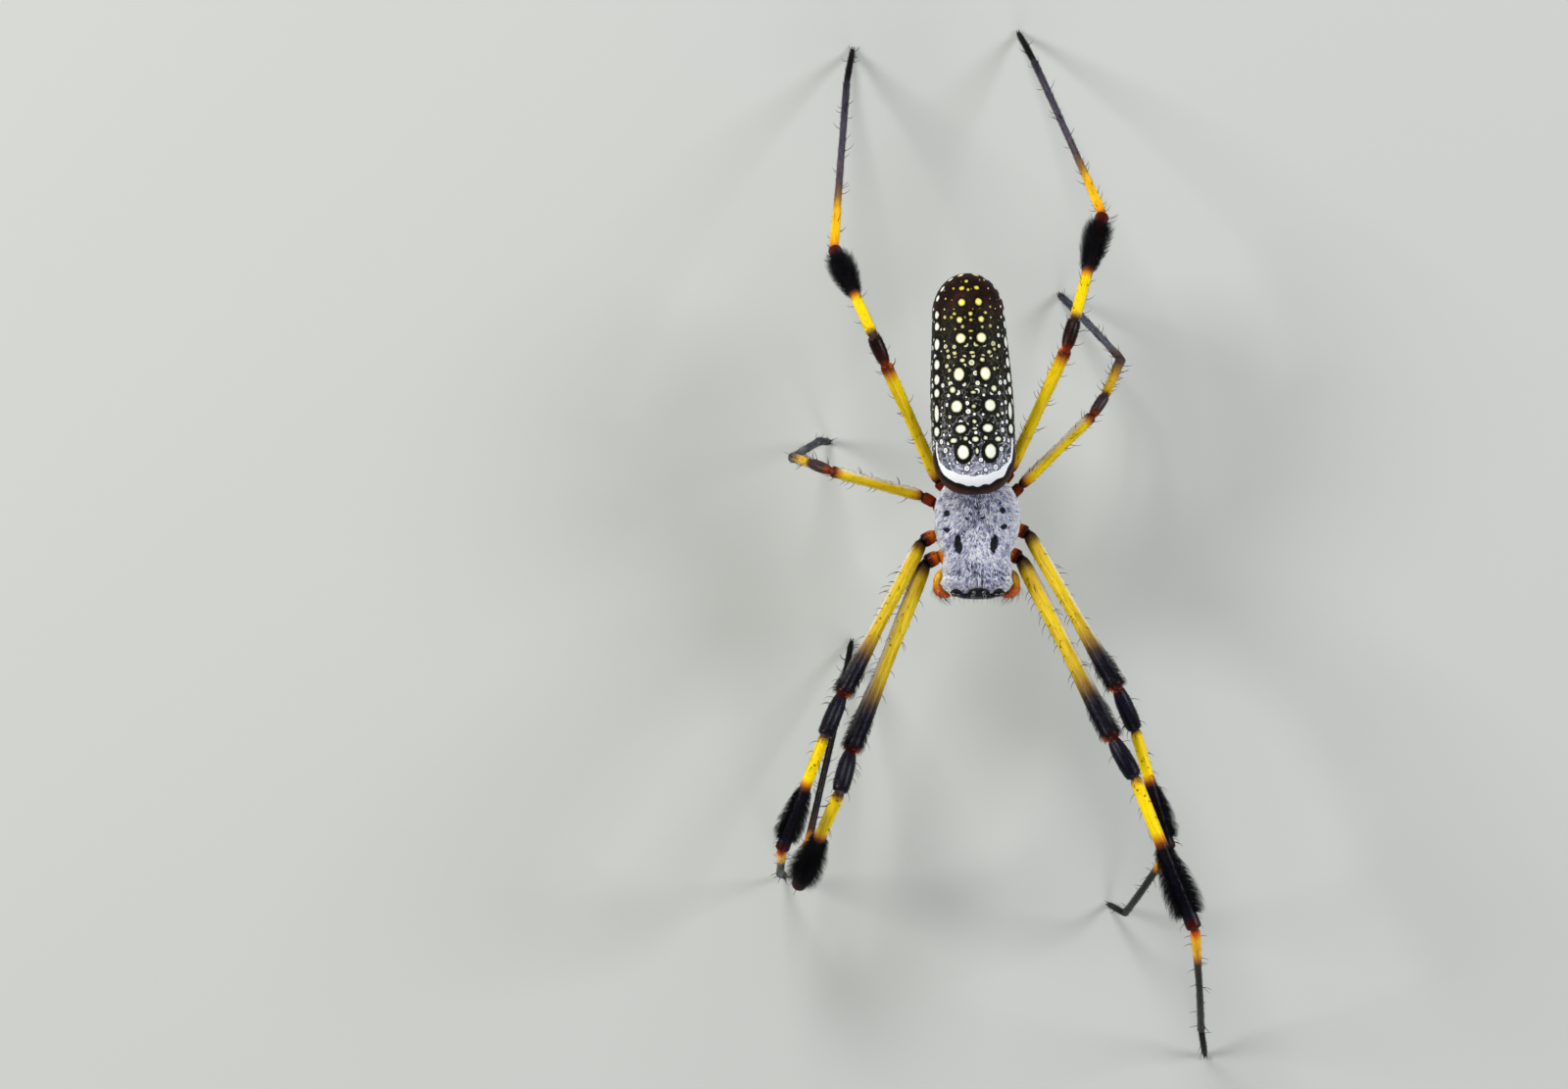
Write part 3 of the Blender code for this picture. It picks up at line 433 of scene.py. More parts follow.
# For each leg the place of its hip, then (heading, rise) of femur, patella and tibia, the headings
# of metatarsus and tarsus, and how much steeper the tarsus falls.
LEG_POSES = {
    "right_1": ((-4.45, -2.84), (-112, 17), (-105, 19), (-112.5, -49), 77, 80, -10),
    "right_2": ((-4.74, -1.02), (-118, 22), (-113, 19), (-110.5, -12), -92, -40, -3),
    "right_3": ((-4.72, 2.98), (165, 21), (158, -36), (161, -71), 33, -4, -2),
    "right_4": ((-3.36, 4.29), (115, 33), (113.5, 8), (113, -43), 85.5, 80, -7),
    "left_1": ((3.83, -2.44), (-63.5, 18), (-60.5, 11), (-68.5, 3.6), -81.5, -78, 6),
    "left_2": ((4.46, -0.26), (-60.5, 17), (-66.5, -15), (-74, -2), -118, 153, -3),
    "left_3": ((3.87, 3.88), (44.3, -10), (56.5, -20), (65, -45), 131, 132, -16),
    "left_4": ((2.93, 5.19), (66, 30), (74, -9), (74, -33), 112, 115.5, -10),
}


def direction(heading, rise):
    """The direction with a heading in the plane of the floor and a rise above it, in degrees."""
    heading, rise = math.radians(heading), math.radians(rise)
    return np.array([math.cos(rise) * math.cos(heading), math.cos(rise) * math.sin(heading), math.sin(rise)])


def leg_joints(key):
    """The hip and the five joints after it, down to the tip of the foot on the floor."""
    hip, femur, patella, tibia, metatarsus, tarsus, droop = LEG_POSES[key]
    lengths = LEG_LENGTHS[int(key[-1])]
    points = [np.array([*hip, HIP_HEIGHT])]
    for pose, length in zip((femur, patella, tibia), lengths):
        points.append(points[-1] + direction(*pose) * length)
    bent = math.radians(droop)
    ahead, aside = lengths[3] + lengths[4] * math.cos(bent), lengths[4] * math.sin(bent)
    fall = math.degrees(-math.asin(points[-1][2] / math.hypot(ahead, aside)) - math.atan2(aside, ahead))
    points.append(points[-1] + direction(metatarsus, fall) * lengths[3])
    points.append(points[-1] + direction(tarsus, fall + droop) * lengths[4])
    return points


for key in LEG_POSES:
    print(key, "tip", leg_joints(key)[-1].round(2))

# %% [markdown]
# ## Legs: one skin from body to foot
# A joint of a spider's leg is a narrow neck that sits inside the collar of the segment before
# it. Modelling each segment alone would leave a seam, so one grid runs through the whole leg and
# only its width tells the segments apart. Where the leg bends, rows that would cross each other
# are slid back to the plane that halves the bend, as a carpenter mitres two bars.

# %% Width along each segment
COXA = {1: (0.66, 0.66), 2: (0.64, 0.62), 3: (0.55, 0.50), 4: (0.62, 0.58)}
FEMUR = {1: (0.68, 0.80), 2: (0.62, 0.75), 3: (0.50, 0.50), 4: (0.52, 0.56)}
PATELLA = {1: 0.78, 2: 0.74, 3: 0.50, 4: 0.62}
TIBIA = {1: (0.55, 0.66), 2: (0.50, 0.60), 3: (0.41, 0.43), 4: (0.49, 0.58)}
METATARSUS = {1: (0.46, 0.31), 2: (0.44, 0.31), 3: (0.36, 0.29), 4: (0.42, 0.30)}
TARSUS = 0.27
NECK = 0.62
SLIM_NECK = 0.72
BRUSH_START = 0.43


def width_rows(leg):
    """Rows of (share, half width) for each segment, with a neck at its start and a collar at its end."""
    (coxa, trochanter), (femur, club), patella = COXA[leg], FEMUR[leg], PATELLA[leg]
    (tibia, end), (base, thin) = TIBIA[leg], METATARSUS[leg]
    return {
        "coxa": [(0, coxa), (0.3, coxa), (0.55, coxa * 1.06), (0.62, coxa * 0.98), (0.68, trochanter * 0.74),
                 (0.74, trochanter * 0.94), (0.88, trochanter), (0.96, trochanter * 0.94), (1, femur * NECK)],
        "femur": [(0, femur * NECK), (0.02, femur * 0.86), (0.08, femur), (0.3, femur), (0.55, femur * 0.94),
                  (0.80, club), (0.93, club * 0.98), (0.975, club), (0.99, club * 0.86), (1, patella * NECK)],
        "patella": [(0, patella * NECK), (0.06, patella * 0.74), (0.3, patella * 0.94), (0.6, patella),
                    (0.88, patella * 0.93), (0.96, patella * 0.80), (1, tibia * SLIM_NECK)],
        "tibia": [(0, tibia * SLIM_NECK), (0.03, tibia * 0.94), (0.1, tibia), (BRUSH_START, tibia),
                  (0.6, (tibia + end) / 2), (0.9, end), (0.975, end * 1.04), (0.99, end * 0.9),
                  (1, base * SLIM_NECK)],
        "metatarsus": [(0, base * SLIM_NECK), (0.02, base * 0.95), (0.07, base), (0.35, thin), (0.95, thin),
                       (0.99, thin * 1.04), (1, TARSUS * 0.8)],
        "tarsus": [(0, TARSUS * 0.8), (0.08, TARSUS), (0.6, TARSUS), (0.9, TARSUS * 0.86), (1, TARSUS * 0.5)],
    }


# %% Middle line of each segment
ROW_SPACING = 0.13
CLOSE_ROWS = np.array([0.004, 0.009, 0.014, 0.02, 0.027, 0.035, 0.045])
ARCH = {"femur": 0.025, "patella": 0.02, "tibia": 0.015, "metatarsus": 0.035, "tarsus": 0.03}
STERNUM_CORNERS = ((1.05, -2.75), (1.62, -1.35), (1.80, 0.10), (1.55, 1.50), (0.75, 2.75))
COXA_HEIGHT = 12.35
COXA_BACKSET = {1: 0.22, 2: 0.40, 3: 0.0, 4: 0.0}
UP = np.array([0.0, 0.0, 1.0])


def segment_shares(length):
    """Shares along a segment, closer together at its two joints."""
    even = np.linspace(0, 1, max(int(length / ROW_SPACING), 12))
    return np.unique(np.concatenate([even, CLOSE_ROWS, 1 - CLOSE_ROWS]))


def leg_parts(key):
    """The middle line, slope and half widths of each segment; the coxa bends, the others arch."""
    leg, side = int(key[-1]), 1.0 if key.startswith("left") else -1.0
    joints = leg_joints(key)
    (x1, y1), (x2, y2) = STERNUM_CORNERS[leg - 1:leg + 1]
    outward = unit(np.array([(y2 - y1) * side, x1 - x2, 0.0]))
    root = np.array([(x1 + x2) / 2 * side, (y1 + y2) / 2, COXA_HEIGHT]) - outward * 0.5
    reach = np.linalg.norm(joints[0] - root)
    bend = root + (joints[0] - root) * 0.66 + np.array([0.0, COXA_BACKSET[leg], 0.0])
    bent = [(0, *root), (1 / 3, *(root + outward * reach * 0.3)), (2 / 3, *bend), (1, *joints[0])]
    parts = []
    for name, start, end in zip(SEGMENTS, [root] + joints, joints):
        chord = end - start
        length = np.linalg.norm(chord)
        shares = segment_shares(length)
        if name == "coxa":
            middles = smooth_curve(bent, shares)
        else:
            bow = np.cross(unit(np.cross(chord, UP)), chord / length) * 4 * ARCH[name] * length
            middles = start + chord * shares[:, None] + bow * (shares * (1 - shares))[:, None]
        parts.append({"start": start, "end": end, "shares": shares, "middles": middles,
                      "slope": unit(np.gradient(middles, axis=0)),
                      "widths": smooth_curve(width_rows(leg)[name], shares)[:, 0]})
    return parts


# %% Grid of a leg
LEG_COLUMNS = 36
MITRE_STEP = 0.004
SHORT_OF_NEXT = 0.9999


def turn_about(vector, axis, sine, cosine):
    """The vector turned about an axis by the angle with this sine and cosine."""
    return vector * cosine + np.cross(axis, vector) * sine + axis * np.dot(axis, vector) * (1 - cosine)


def leg_grid(key):
    """The grid of one leg, and its place along the leg for each row: 1.5 is half way along the femur."""
    parts = leg_parts(key)
    previous = parts[0]["slope"][0]
    side = unit(np.cross(previous, UP))
    turns = round_angles(LEG_COLUMNS)
    grid, places = [], []
    for index, part in enumerate(parts):
        mitres = []
        if index > 0:
            mitres.append((part["start"], unit(parts[index - 1]["slope"][-1] + part["slope"][0]), 1.0))
        if index + 1 < len(parts):
            mitres.append((part["end"], unit(part["slope"][-1] + parts[index + 1]["slope"][0]), -1.0))
        total = len(part["shares"])
        for step in range(total):
            slope = part["slope"][step]
            axis = np.cross(previous, slope)
            sine = np.linalg.norm(axis)
            if sine > 1e-6:
                side = turn_about(side, axis / sine, sine, np.dot(previous, slope))
            side = unit(side - slope * np.dot(side, slope))
            previous = slope
            radial = side * np.cos(turns)[:, None] + np.cross(slope, side) * np.sin(turns)[:, None]
            ring = part["middles"][step] + radial * part["widths"][step]
            for place, normal, sign in mitres:
                order = step if sign > 0 else total - 1 - step
                short = order * MITRE_STEP - sign * ((ring - place) @ normal)
                ring = ring + slope * (sign * np.maximum(short, 0) / np.dot(slope, normal))[:, None]
            grid.append(ring)
            places.append(index + part["shares"][step] * SHORT_OF_NEXT)
    grid = np.array(grid)
    grid[..., 2] = np.maximum(grid[..., 2], 0.0)
    return grid, np.array(places)


leg_grids = {key: leg_grid(key) for key in LEG_POSES}
print("rows and columns of leg 1:", leg_grids["left_1"][0].shape[:2])

# %% [markdown]
# ## Legs: colour along the leg
# The cuticle of the legs is thin and translucent, honey yellow where little pigment lies under
# it and nearly black where there is much. The pigment comes in bands that follow the segments,
# so the colour is a list of stops along each one, kept as an attribute of the mesh.

# %% Pigment bands
YELLOW_TIBIA = [(0, "#3A2A14"), (0.03, "#B88A14"), (0.06, "#F4D008"), (0.36, "#F9DA06"), (0.40, "#D8900E"),
                (0.435, "#7A3A10"), (0.47, "#1A1014")]
# Painted sheen: the black stops of femur, patella and tibia of the front legs lean blue-violet, standing in
# for the bluish gloss of black cuticle.
BANDS = {
    "coxa_front": [(0, "#2A0C06"), (0.3, "#8A3A08"), (0.48, "#E07C12"), (0.645, "#EE860E"),
                   (0.68, "#8A340A"), (0.705, "#7A2A0A"), (0.74, "#C8640E"), (0.79, "#B84E0C"),
                   (0.86, "#5A1808"), (0.94, "#180706"), (1, "#0C0508")],
    "coxa_rear": [(0, "#2A0C06"), (0.3, "#7A2A08"), (0.60, "#C8600E"), (0.68, "#7A240A"), (0.72, "#1C0805"),
                  (0.80, "#7A260A"), (0.90, "#6A2408"), (1, "#2A0E08")],
    "femur_dark": [(0, "#0E070A"), (0.02, "#1D0E10"), (0.055, "#6A4A16"), (0.10, "#D0AC10"),
                   (0.35, "#DEC010"), (0.60, "#CDAC12"), (0.70, "#8A6A22"), (0.765, "#3A2A22"),
                   (0.82, "#141220"), (0.955, "#100E1A"), (0.975, "#1E0C10"), (0.99, "#3A1008"),
                   (1, "#4A1608")],
    "femur_plain": [(0, "#2A1008"), (0.03, "#6A2C0C"), (0.075, "#D08A10"), (0.16, "#EECA0C"),
                    (0.87, "#E9C60A"), (0.925, "#C87E10"), (0.96, "#7A3A0E"), (0.985, "#4A1608"),
                    (1, "#6A2208")],
    "patella_dark": [(0, "#4A1608"), (0.05, "#2A0C0A"), (0.13, "#161020"), (0.3, "#131120"),
                     (0.9, "#110F1A"), (0.97, "#1E1420"), (1, "#4A4046")],
    "patella_brown": [(0, "#7A2A0A"), (0.07, "#5A1C0A"), (0.18, "#2E120A"), (0.5, "#20100C"),
                      (0.85, "#1A0D0C"), (0.97, "#3A2018"), (1, "#4A3028")],
    "patella_plain": [(0, "#6A2008"), (0.10, "#7A340E"), (0.3, "#4A3430"), (0.7, "#3C3038"), (1, "#3A2C30")],
    "tibia_brush": YELLOW_TIBIA + [(0.55, "#100D1C"), (0.91, "#110E1E"), (0.945, "#2E0A0A"), (1, "#4A1408")],
    "tibia_maroon": YELLOW_TIBIA + [(0.60, "#0E0A10"), (0.80, "#1C0808"), (0.90, "#3E0E08"), (1, "#5A1808")],
    "tibia_bare": [(0, "#6A4A1A"), (0.08, "#D9A81A"), (0.35, "#E2B21A"), (0.6, "#A87A24"), (0.8, "#54403A"),
                   (1, "#3A3236")],
    "metatarsus_dark": [(0, "#B8400A"), (0.02, "#F07C08"), (0.06, "#FFC206"), (0.17, "#FFBA08"),
                        (0.215, "#C0780C"), (0.265, "#34190C"), (0.36, "#100A0B"), (1, "#0C0A0E")],
    "metatarsus_purple": [(0, "#B8500C"), (0.025, "#F5A20A"), (0.08, "#FFC60C"), (0.2, "#F5B80F"),
                          (0.28, "#8A6430"), (0.36, "#5E5058"), (0.5, "#544E60"), (0.8, "#464050"),
                          (1, "#2E2A36")],
    "metatarsus_blue": [(0, "#5A3A2A"), (0.08, "#6A5A58"), (0.25, "#6E7082"), (0.7, "#5E6274"),
                        (1, "#4E5262")],
    "tarsus_dark": [(0, "#120E11"), (0.5, "#0D0A0D"), (1, "#0A080A")],
    "tarsus_blue": [(0, "#4E5262"), (0.5, "#444858"), (1, "#2E303A")],
}
FRONT_LEG = ("coxa_front", "femur_dark", "patella_dark", "tibia_brush", "metatarsus_dark", "tarsus_dark")
BANDS_OF_LEG = {
    1: FRONT_LEG,
    2: FRONT_LEG,
    3: ("coxa_rear", "femur_plain", "patella_plain", "tibia_bare", "metatarsus_blue", "tarsus_blue"),
    4: ("coxa_rear", "femur_plain", "patella_brown", "tibia_maroon", "metatarsus_purple", "tarsus_dark"),
}


def leg_pigment(leg, at):
    """Linear colour at places along a leg."""
    colour = np.empty(at.shape + (4,))
    for index, bands in enumerate(BANDS_OF_LEG[leg]):
        places, stops = zip(*BANDS[bands])
        here = np.floor(at).astype(int) == index
        values = np.array([to_linear(stop) for stop in stops])
        for channel in range(4):
            colour[here, channel] = np.interp(at[here] - index, places, values[:, channel])
    return colour


# %% Leg cuticle
# Sclerotised cuticle, like thin horn: waxy, with a soft highlight that breaks up along fine
# lengthwise grooves. IOR 1.56 is that of chitin; a little light passes through the yellow parts.
leg_cuticle = new_finish("waxy leg cuticle", {
    "IOR": 1.56, "Specular IOR Level": 0.08, "Coat Weight": 0.02, "Coat Roughness": 0.12,
    "Subsurface Weight": 0.12, "Subsurface Scale": 0.0006, "Subsurface Radius": (1.0, 0.8, 0.25)})
horn = partial(add_node, leg_cuticle)
pigment = horn("Attribute", {}, attribute_name="pigment")["Color"]
straight = horn("Attribute", {}, attribute_name="straight")["Vector"]
pale = horn("Attribute", {}, attribute_name="pale")["Fac"]
grooves = horn("Mapping", {"Vector": straight, "Scale": (3.2, 3.2, 0.35)})[0]
streak = horn("TexNoise", {"Vector": grooves, "Scale": 1.0, "Detail": 5.0, "Roughness": 0.6})["Fac"]
shade = horn("ValToRGB", {"Fac": streak}, [(0.32, "#B4AE98"), (0.5, "#EFEDE4"), (0.68, "#FFFFFF")])[0]
tinted = horn("Mix", {0: 0.7, 6: pigment, 7: shade}, data_type="RGBA", blend_type="MULTIPLY")[2]
pores = horn("TexVoronoi", {"Vector": straight, "Scale": 0.8})["Distance"]
in_pore = horn("MapRange", {
    "Value": pores, "From Min": 0.06, "From Max": 0.11, "To Min": 0.8, "To Max": 0.0})[0]
dotted = horn("Mix", {0: in_pore, 6: tinted, 7: "#2A150C"}, data_type="RGBA")[2]
# Painted highlight: a pale strip, #DEDACE, mixed into the colour along the outer upper side of the femora and
# broken up by the streaks.
highlight_share = horn("Math", {0: pale, 1: streak}, operation="MULTIPLY")[0]
highlighted = horn("Mix", {0: highlight_share, 6: dotted, 7: "#DEDACE"}, data_type="RGBA")[2]
grain = horn("TexNoise", {"Vector": straight, "Scale": 9.0, "Detail": 3.0})["Fac"]
gloss = horn("MapRange", {"Value": grain, "To Min": 0.16, "To Max": 0.34})[0]
relief = horn("Math", {0: streak, 1: grain}, operation="ADD")[0]
bump = horn("Bump", {"Height": relief, "Strength": 0.5, "Distance": 0.00006})[0]
set_surface(leg_cuticle, {"Base Color": highlighted, "Roughness": gloss, "Normal": bump})

# %% Skins of the eight legs
# Painted highlight: how strong the pale strip painted along the outer upper side of each femur is, standing
# in for the pale line of side light.
HIGHLIGHT_STRIP_STRENGTH = {1: 1.4, 2: 1.4, 3: 1.8, 4: 0.0}
COLLAR_ORANGE = np.array(to_linear("#D8680C"))


def painted_highlight_strip(leg, at, toward, upward):
    """Painted highlight: how pale the outer upper side of the femur is painted, as side light would show it;
    on legs 1 and 2 it fades on the black end.
    """
    fade = 1 - 0.8 * smooth_step(1.66, 1.80, at) * (leg < 3)
    on_femur = smooth_step(1.04, 1.12, at) * (1 - smooth_step(1.86, 1.97, at))
    on_lit_side = smooth_step(0.25 if leg < 3 else 0.1, 0.8, toward) * smooth_step(-0.25, 0.15, upward)
    return on_lit_side * (on_femur * HIGHLIGHT_STRIP_STRENGTH[leg] * fade)[:, None]


# For the hair: the place along the leg, and how near to the sides of the leg each point lies.
hair_guides = {}
for key, (grid, at) in leg_grids.items():
    leg = int(key[-1])
    rows, columns = grid.shape[:2]
    middle = grid.mean(axis=1, keepdims=True)
    radial = unit(grid - middle)
    outward = radial[..., 0] * (1.0 if key.startswith("left") else -1.0)
    steps = np.linalg.norm(np.diff(middle[:, 0], axis=0), axis=1)
    travelled = np.broadcast_to(np.concatenate([[0], np.cumsum(steps)])[:, None], (rows, columns))
    radius = np.linalg.norm(grid - middle, axis=2).mean(axis=1)[:, None]
    turns = round_angles(columns)
    collar = smooth_step(1.965, 1.985, at) * (1 - smooth_step(2.03, 2.07, at))
    orange = 0.8 * (collar[:, None] * smooth_step(0.6, 0.9, -outward))[..., None]
    fields = {
        "pigment": leg_pigment(leg, at)[:, None] * (1 - orange) + COLLAR_ORANGE * orange,
        "straight": np.stack([radius * np.cos(turns), radius * np.sin(turns), travelled], axis=2),
        # The painted highlight strip; on leg 3 it lies on the rear upper side.
        "pale": painted_highlight_strip(leg, at, radial[..., 1] if leg == 3 else outward, radial[..., 2]),
    }
    names = [f"leg_{key}_{name}" for name in SEGMENTS]
    grid_skin(f"leg_{key}_skin", grid, leg_cuticle, fields, names)
    beside = 1 - smooth_step(0.55, 0.95, np.abs(radial[..., 2]))
    hair_guides[key] = (np.repeat(at[:, None], columns, axis=1), beside)

# %% [markdown]
# ## Hair of the legs
# Dark stiff hairs cover the legs: sparse and short on the yellow parts, close on the black end of
# the femur, and on the far half of the tibiae they become the brushes that this spider is known
# by. Those hairs are up to 1.5 mm long and stand off the leg leaning towards the foot.

# %% Black hair
# Hair of the same chitin as the cuticle, black with pigment. The bluish tone of the lighter hairs is painted
# sheen, for the bluish gloss of black hair, as on black feathers.
black_hair = hair_finish("black leg hair", [(0.0, "#030305"), (0.6, "#07070C"), (1.0, "#16161F")],
                         {"Roughness": 0.45, "IOR": 1.56, "Specular IOR Level": 0.08})

# %% Brushes, fringe and bristles
BRUSH_REACH = {1: 1.05, 2: 0.76, 4: 0.84}
BRUSH_HAIRS = {1: 4400, 2: 3400, 4: 3600}
BRUSH_FROM, BRUSH_FULL, BRUSH_TO = 3 + BRUSH_START, 3.06 + BRUSH_START, 3.90
NO_TIP_PAST = 3.935


def fringe_and_spines(key, number, grid, where, beside):
    """Short hair, closer on the black end of the femur, and some long spines between it."""
    leg = int(key[-1])
    fuzz = smooth_step(1.76, 1.85, where) * (1 - smooth_step(1.97, 2.0, where)) * (leg < 3)
    patella = smooth_step(2.05, 2.15, where) * (1 - smooth_step(2.95, 3.05, where)) * (leg != 3)
    weight = 0.05 + 1.1 * fuzz * (0.35 + 0.65 * beside) + 0.25 * patella + 0.4 * smooth_step(4.2, 4.4, where)
    place = scatter(grid, 2200, 10 + number, weight * smooth_step(0.45, 0.6, where))
    draw, count, close = place["draw"], place["count"], place["pick"](fuzz)
    grown = (0.7 + 0.6 * draw.random(count)) * (0.75 + 0.5 * close)
    grow_hairs(f"leg_{key}_hair", place, place["along"], 0.34 * grown, (0.12 + 0.10 * close) * grown, 0.028,
               black_hair, 0.6 * draw.random(count), "brush_hair")
    place = scatter(grid, 110 if leg != 3 else 60, 50 + number, smooth_step(1.05, 1.15, where))
    draw, count = place["draw"], place["count"]
    grown = 0.6 + 0.7 * draw.random(count)
    grow_hairs(f"leg_{key}_spines", place, place["along"], 0.66 * grown, 0.60 * grown, 0.07, black_hair,
               0.3 * draw.random(count), "brush_hair", rings=5)


def brush(key, number, grid, where, beside):
    """Long hair on the far half of a tibia, longest at its sides and never past its end."""
    leg = int(key[-1])
    weight = smooth_step(BRUSH_FROM, BRUSH_FULL, where) * (1 - smooth_step(BRUSH_TO - 0.03, BRUSH_TO, where))
    place = scatter(grid, BRUSH_HAIRS[leg], 90 + number, weight * (0.4 + 0.6 * beside))
    draw, count, at = place["draw"], place["count"], place["pick"](where)
    reach = BRUSH_REACH[leg] * (0.30 + 0.80 * draw.random(count) ** 1.3)
    reach = reach * (0.42 + 0.58 * place["pick"](beside))
    reach = reach * (0.40 + 0.60 * smooth_step(BRUSH_FROM, BRUSH_FROM + 0.25, at))
    reach = reach * (1 - 0.5 * smooth_step(3.80, BRUSH_TO, at))
    length = np.minimum(reach * (0.8 + 0.5 * draw.random(count)), (NO_TIP_PAST - at) * LEG_LENGTHS[leg][2])
    grow_hairs(f"leg_{key}_brush", place, place["along"], length, reach, 0.030, black_hair,
               draw.random(count) ** 1.5, "brush_hair", rings=4, sway=0.3)


for number, (key, (grid, _)) in enumerate(leg_grids.items()):
    fringe_and_spines(key, number, grid, *hair_guides[key])
    if int(key[-1]) in BRUSH_REACH:
        brush(key, number, grid, *hair_guides[key])

# %% [markdown]
# ## Front half of the body
# The carapace is a shield over the head and chest. A narrow groove on each side marks off the
# head, and a pit in the middle is where muscles hold on inside. Below it the shield turns in to
# soft flanks, and the breastplate closes the chest between the coxae. One grid round the whole
# gives shield, flanks and breastplate in one skin.

# %% Sizes of shield and breastplate
CARAPACE_BASE = 13.9
# Place along the body, half width and height of the shield above its base.
CARAPACE_OUTLINE = (
    (-5.55, 1.92, 1.90), (-5.20, 2.26, 2.45), (-4.60, 2.57, 2.90), (-3.40, 2.78, 3.10), (-2.10, 2.70, 2.85),
    (-0.90, 3.17, 2.40), (0.85, 3.50, 2.15), (2.50, 3.28, 1.85), (3.70, 2.62, 1.25), (4.40, 1.85, 0.75),
    (4.75, 1.10, 0.50),
)
# Place along the body, half width and level of the underside.
CHEST_OUTLINE = (
    (-5.55, 1.6, 14.95), (-4.30, 1.9, 14.85), (-3.60, 1.9, 13.8), (-2.95, 1.35, 12.2), (-2.55, 1.25, 11.25),
    (-1.35, 1.70, 11.1), (0.10, 1.85, 11.1), (1.50, 1.60, 11.1), (2.50, 1.00, 11.2), (3.00, 0.85, 12.6),
    (3.70, 1.2, 13.6), (4.75, 0.9, 13.95),
)
GROOVE_FROM, GROOVE_TO = np.array([0.35, 0.9]), np.array([2.85, -2.1])
GROOVE_DEPTH, GROOVE_WIDTH = 0.34, 0.34
PIT_PLACE, PIT_LENGTH, PIT_WIDTH, PIT_DEPTH = 1.5, 0.7, 0.45, 0.42


def groove_depth(x, y):
    """How deep the two side grooves and the middle pit go, in mm; the deeper one counts."""
    length = np.linalg.norm(GROOVE_TO - GROOVE_FROM)
    ahead_x, ahead_y = (GROOVE_TO - GROOVE_FROM) / length
    dx, dy = np.abs(x) - GROOVE_FROM[0], y - GROOVE_FROM[1]
    along, across = dx * ahead_x + dy * ahead_y, dx * ahead_y - dy * ahead_x
    within = smooth_step(-0.6, 0.2, along) * (1 - smooth_step(length - 0.2, length + 0.6, along))
    pit = PIT_DEPTH * hump(x, PIT_WIDTH) * hump(y - PIT_PLACE, PIT_LENGTH)
    return np.maximum(GROOVE_DEPTH * within * hump(across, GROOVE_WIDTH), pit)


# %% Grid of the front body
CHEST_ROWS, UPPER, LOWER = 190, 150, 90
FACE_CAPS = ((0.08, 0.35), (0.25, 0.34), (0.5, 0.31), (0.7, 0.25), (0.84, 0.17), (0.94, 0.08))


def chest_ring(y):
    """One row round the body: over the shield, down the right flank, below and up the left."""
    half, height = smooth_curve(CARAPACE_OUTLINE, y)[0]
    inner, bottom = smooth_curve(CHEST_OUTLINE, y)[0]
    base = smooth_step(3.85, 4.20, -y)
    margin = base + min(0.35, (height - base) / 2)
    turn = np.linspace(math.pi, 0, UPPER)
    x = half * np.cos(turn)
    lift = margin + (height - margin) * np.sin(turn) ** 0.75
    top = np.stack([x, np.full(UPPER, y), CARAPACE_BASE + lift - groove_depth(x, y)], axis=1)
    edge = CARAPACE_BASE + base
    bottom = min(bottom, edge - 0.05)
    profile = [(half, top[-1, 2]), (half * 0.99, edge + 0.05), (half * 0.9, edge - 0.08),
               ((half * 0.8 + inner) / 2, edge - 0.12), (inner * 1.02, (edge * 2 + bottom) / 3 - 0.05),
               (inner, bottom + 0.35), (inner * 0.72, bottom + 0.04), (inner * 0.3, bottom - 0.06),
               (0.0, bottom - 0.08)]
    under = smooth_curve([(index, *point) for index, point in enumerate(profile)],
                         np.linspace(0, len(profile) - 1, LOWER // 2 + 1)[1:])
    right = np.stack([under[:, 0], np.full(len(under), y), under[:, 1]], axis=1)
    return np.concatenate([top, right, right[::-1][1:] * (-1, 1, 1)])


def chest_grid():
    rear = CARAPACE_OUTLINE[-1][0]
    shares = (1 - np.cos(np.linspace(0.0, math.pi, CHEST_ROWS))) / 2
    grid = np.array([chest_ring(y) for y in CARAPACE_FRONT + (rear - CARAPACE_FRONT) * shares])
    middle = grid[0].mean(axis=0)
    caps = [middle + (grid[0] - middle) * share + np.array([0, -bulge, 0]) for share, bulge in FACE_CAPS]
    return np.concatenate([caps, grid])


chest = chest_grid()
print("front body grid", chest.shape)

# %% [markdown]
# ## Marks on the shield
# The silver fur leaves bare black spots where muscles are fixed inside: two large ones behind
# the head, four small ones on the sides, and a few dashes round the pit. Each is an ellipse, and
# the attribute holds how far inside or outside its edge a point lies. A shader can then cut a
# sharp, slightly ragged edge that doesn't depend on how fine the mesh is.

# %% Distance to marks
# Middle, half width, half length and turn in degrees of each mark.
SHIELD_MARKS = (
    (-2.62, 1.47, 0.28, 0.26, 0), (2.15, 1.72, 0.26, 0.28, 0), (-2.64, 0.03, 0.30, 0.20, -15),
    (2.27, 0.31, 0.30, 0.22, 30), (-1.65, -1.25, 0.33, 0.82, 4), (1.39, -1.19, 0.33, 0.82, -8),
    (-0.92, 1.01, 0.24, 0.09, -30), (-0.64, 1.43, 0.08, 0.20, 0), (0.12, 1.56, 0.08, 0.20, 0),
    (0.46, 1.09, 0.24, 0.09, 30), (-0.50, -3.13, 0.09, 0.16, 0), (1.86, -3.60, 0.16, 0.07, 40),
    (1.95, 2.35, 0.14, 0.06, 30), (-2.2, 2.20, 0.12, 0.06, -30),
)


def inside_marks(x, y):
    """How far inside the nearest ellipse each point lies, in mm; below zero is outside."""
    best = np.full(np.shape(x), -1.0)
    for middle_x, middle_y, half_x, half_y, turn in SHIELD_MARKS:
        cosine, sine = math.cos(math.radians(turn)), math.sin(math.radians(turn))
        dx, dy = x - middle_x, y - middle_y
        u, v = (dx * cosine + dy * sine) / half_x, (dy * cosine - dx * sine) / half_y
        best = np.maximum(best, (1 - np.hypot(u, v)) * math.sqrt(half_x * half_y))
    return best


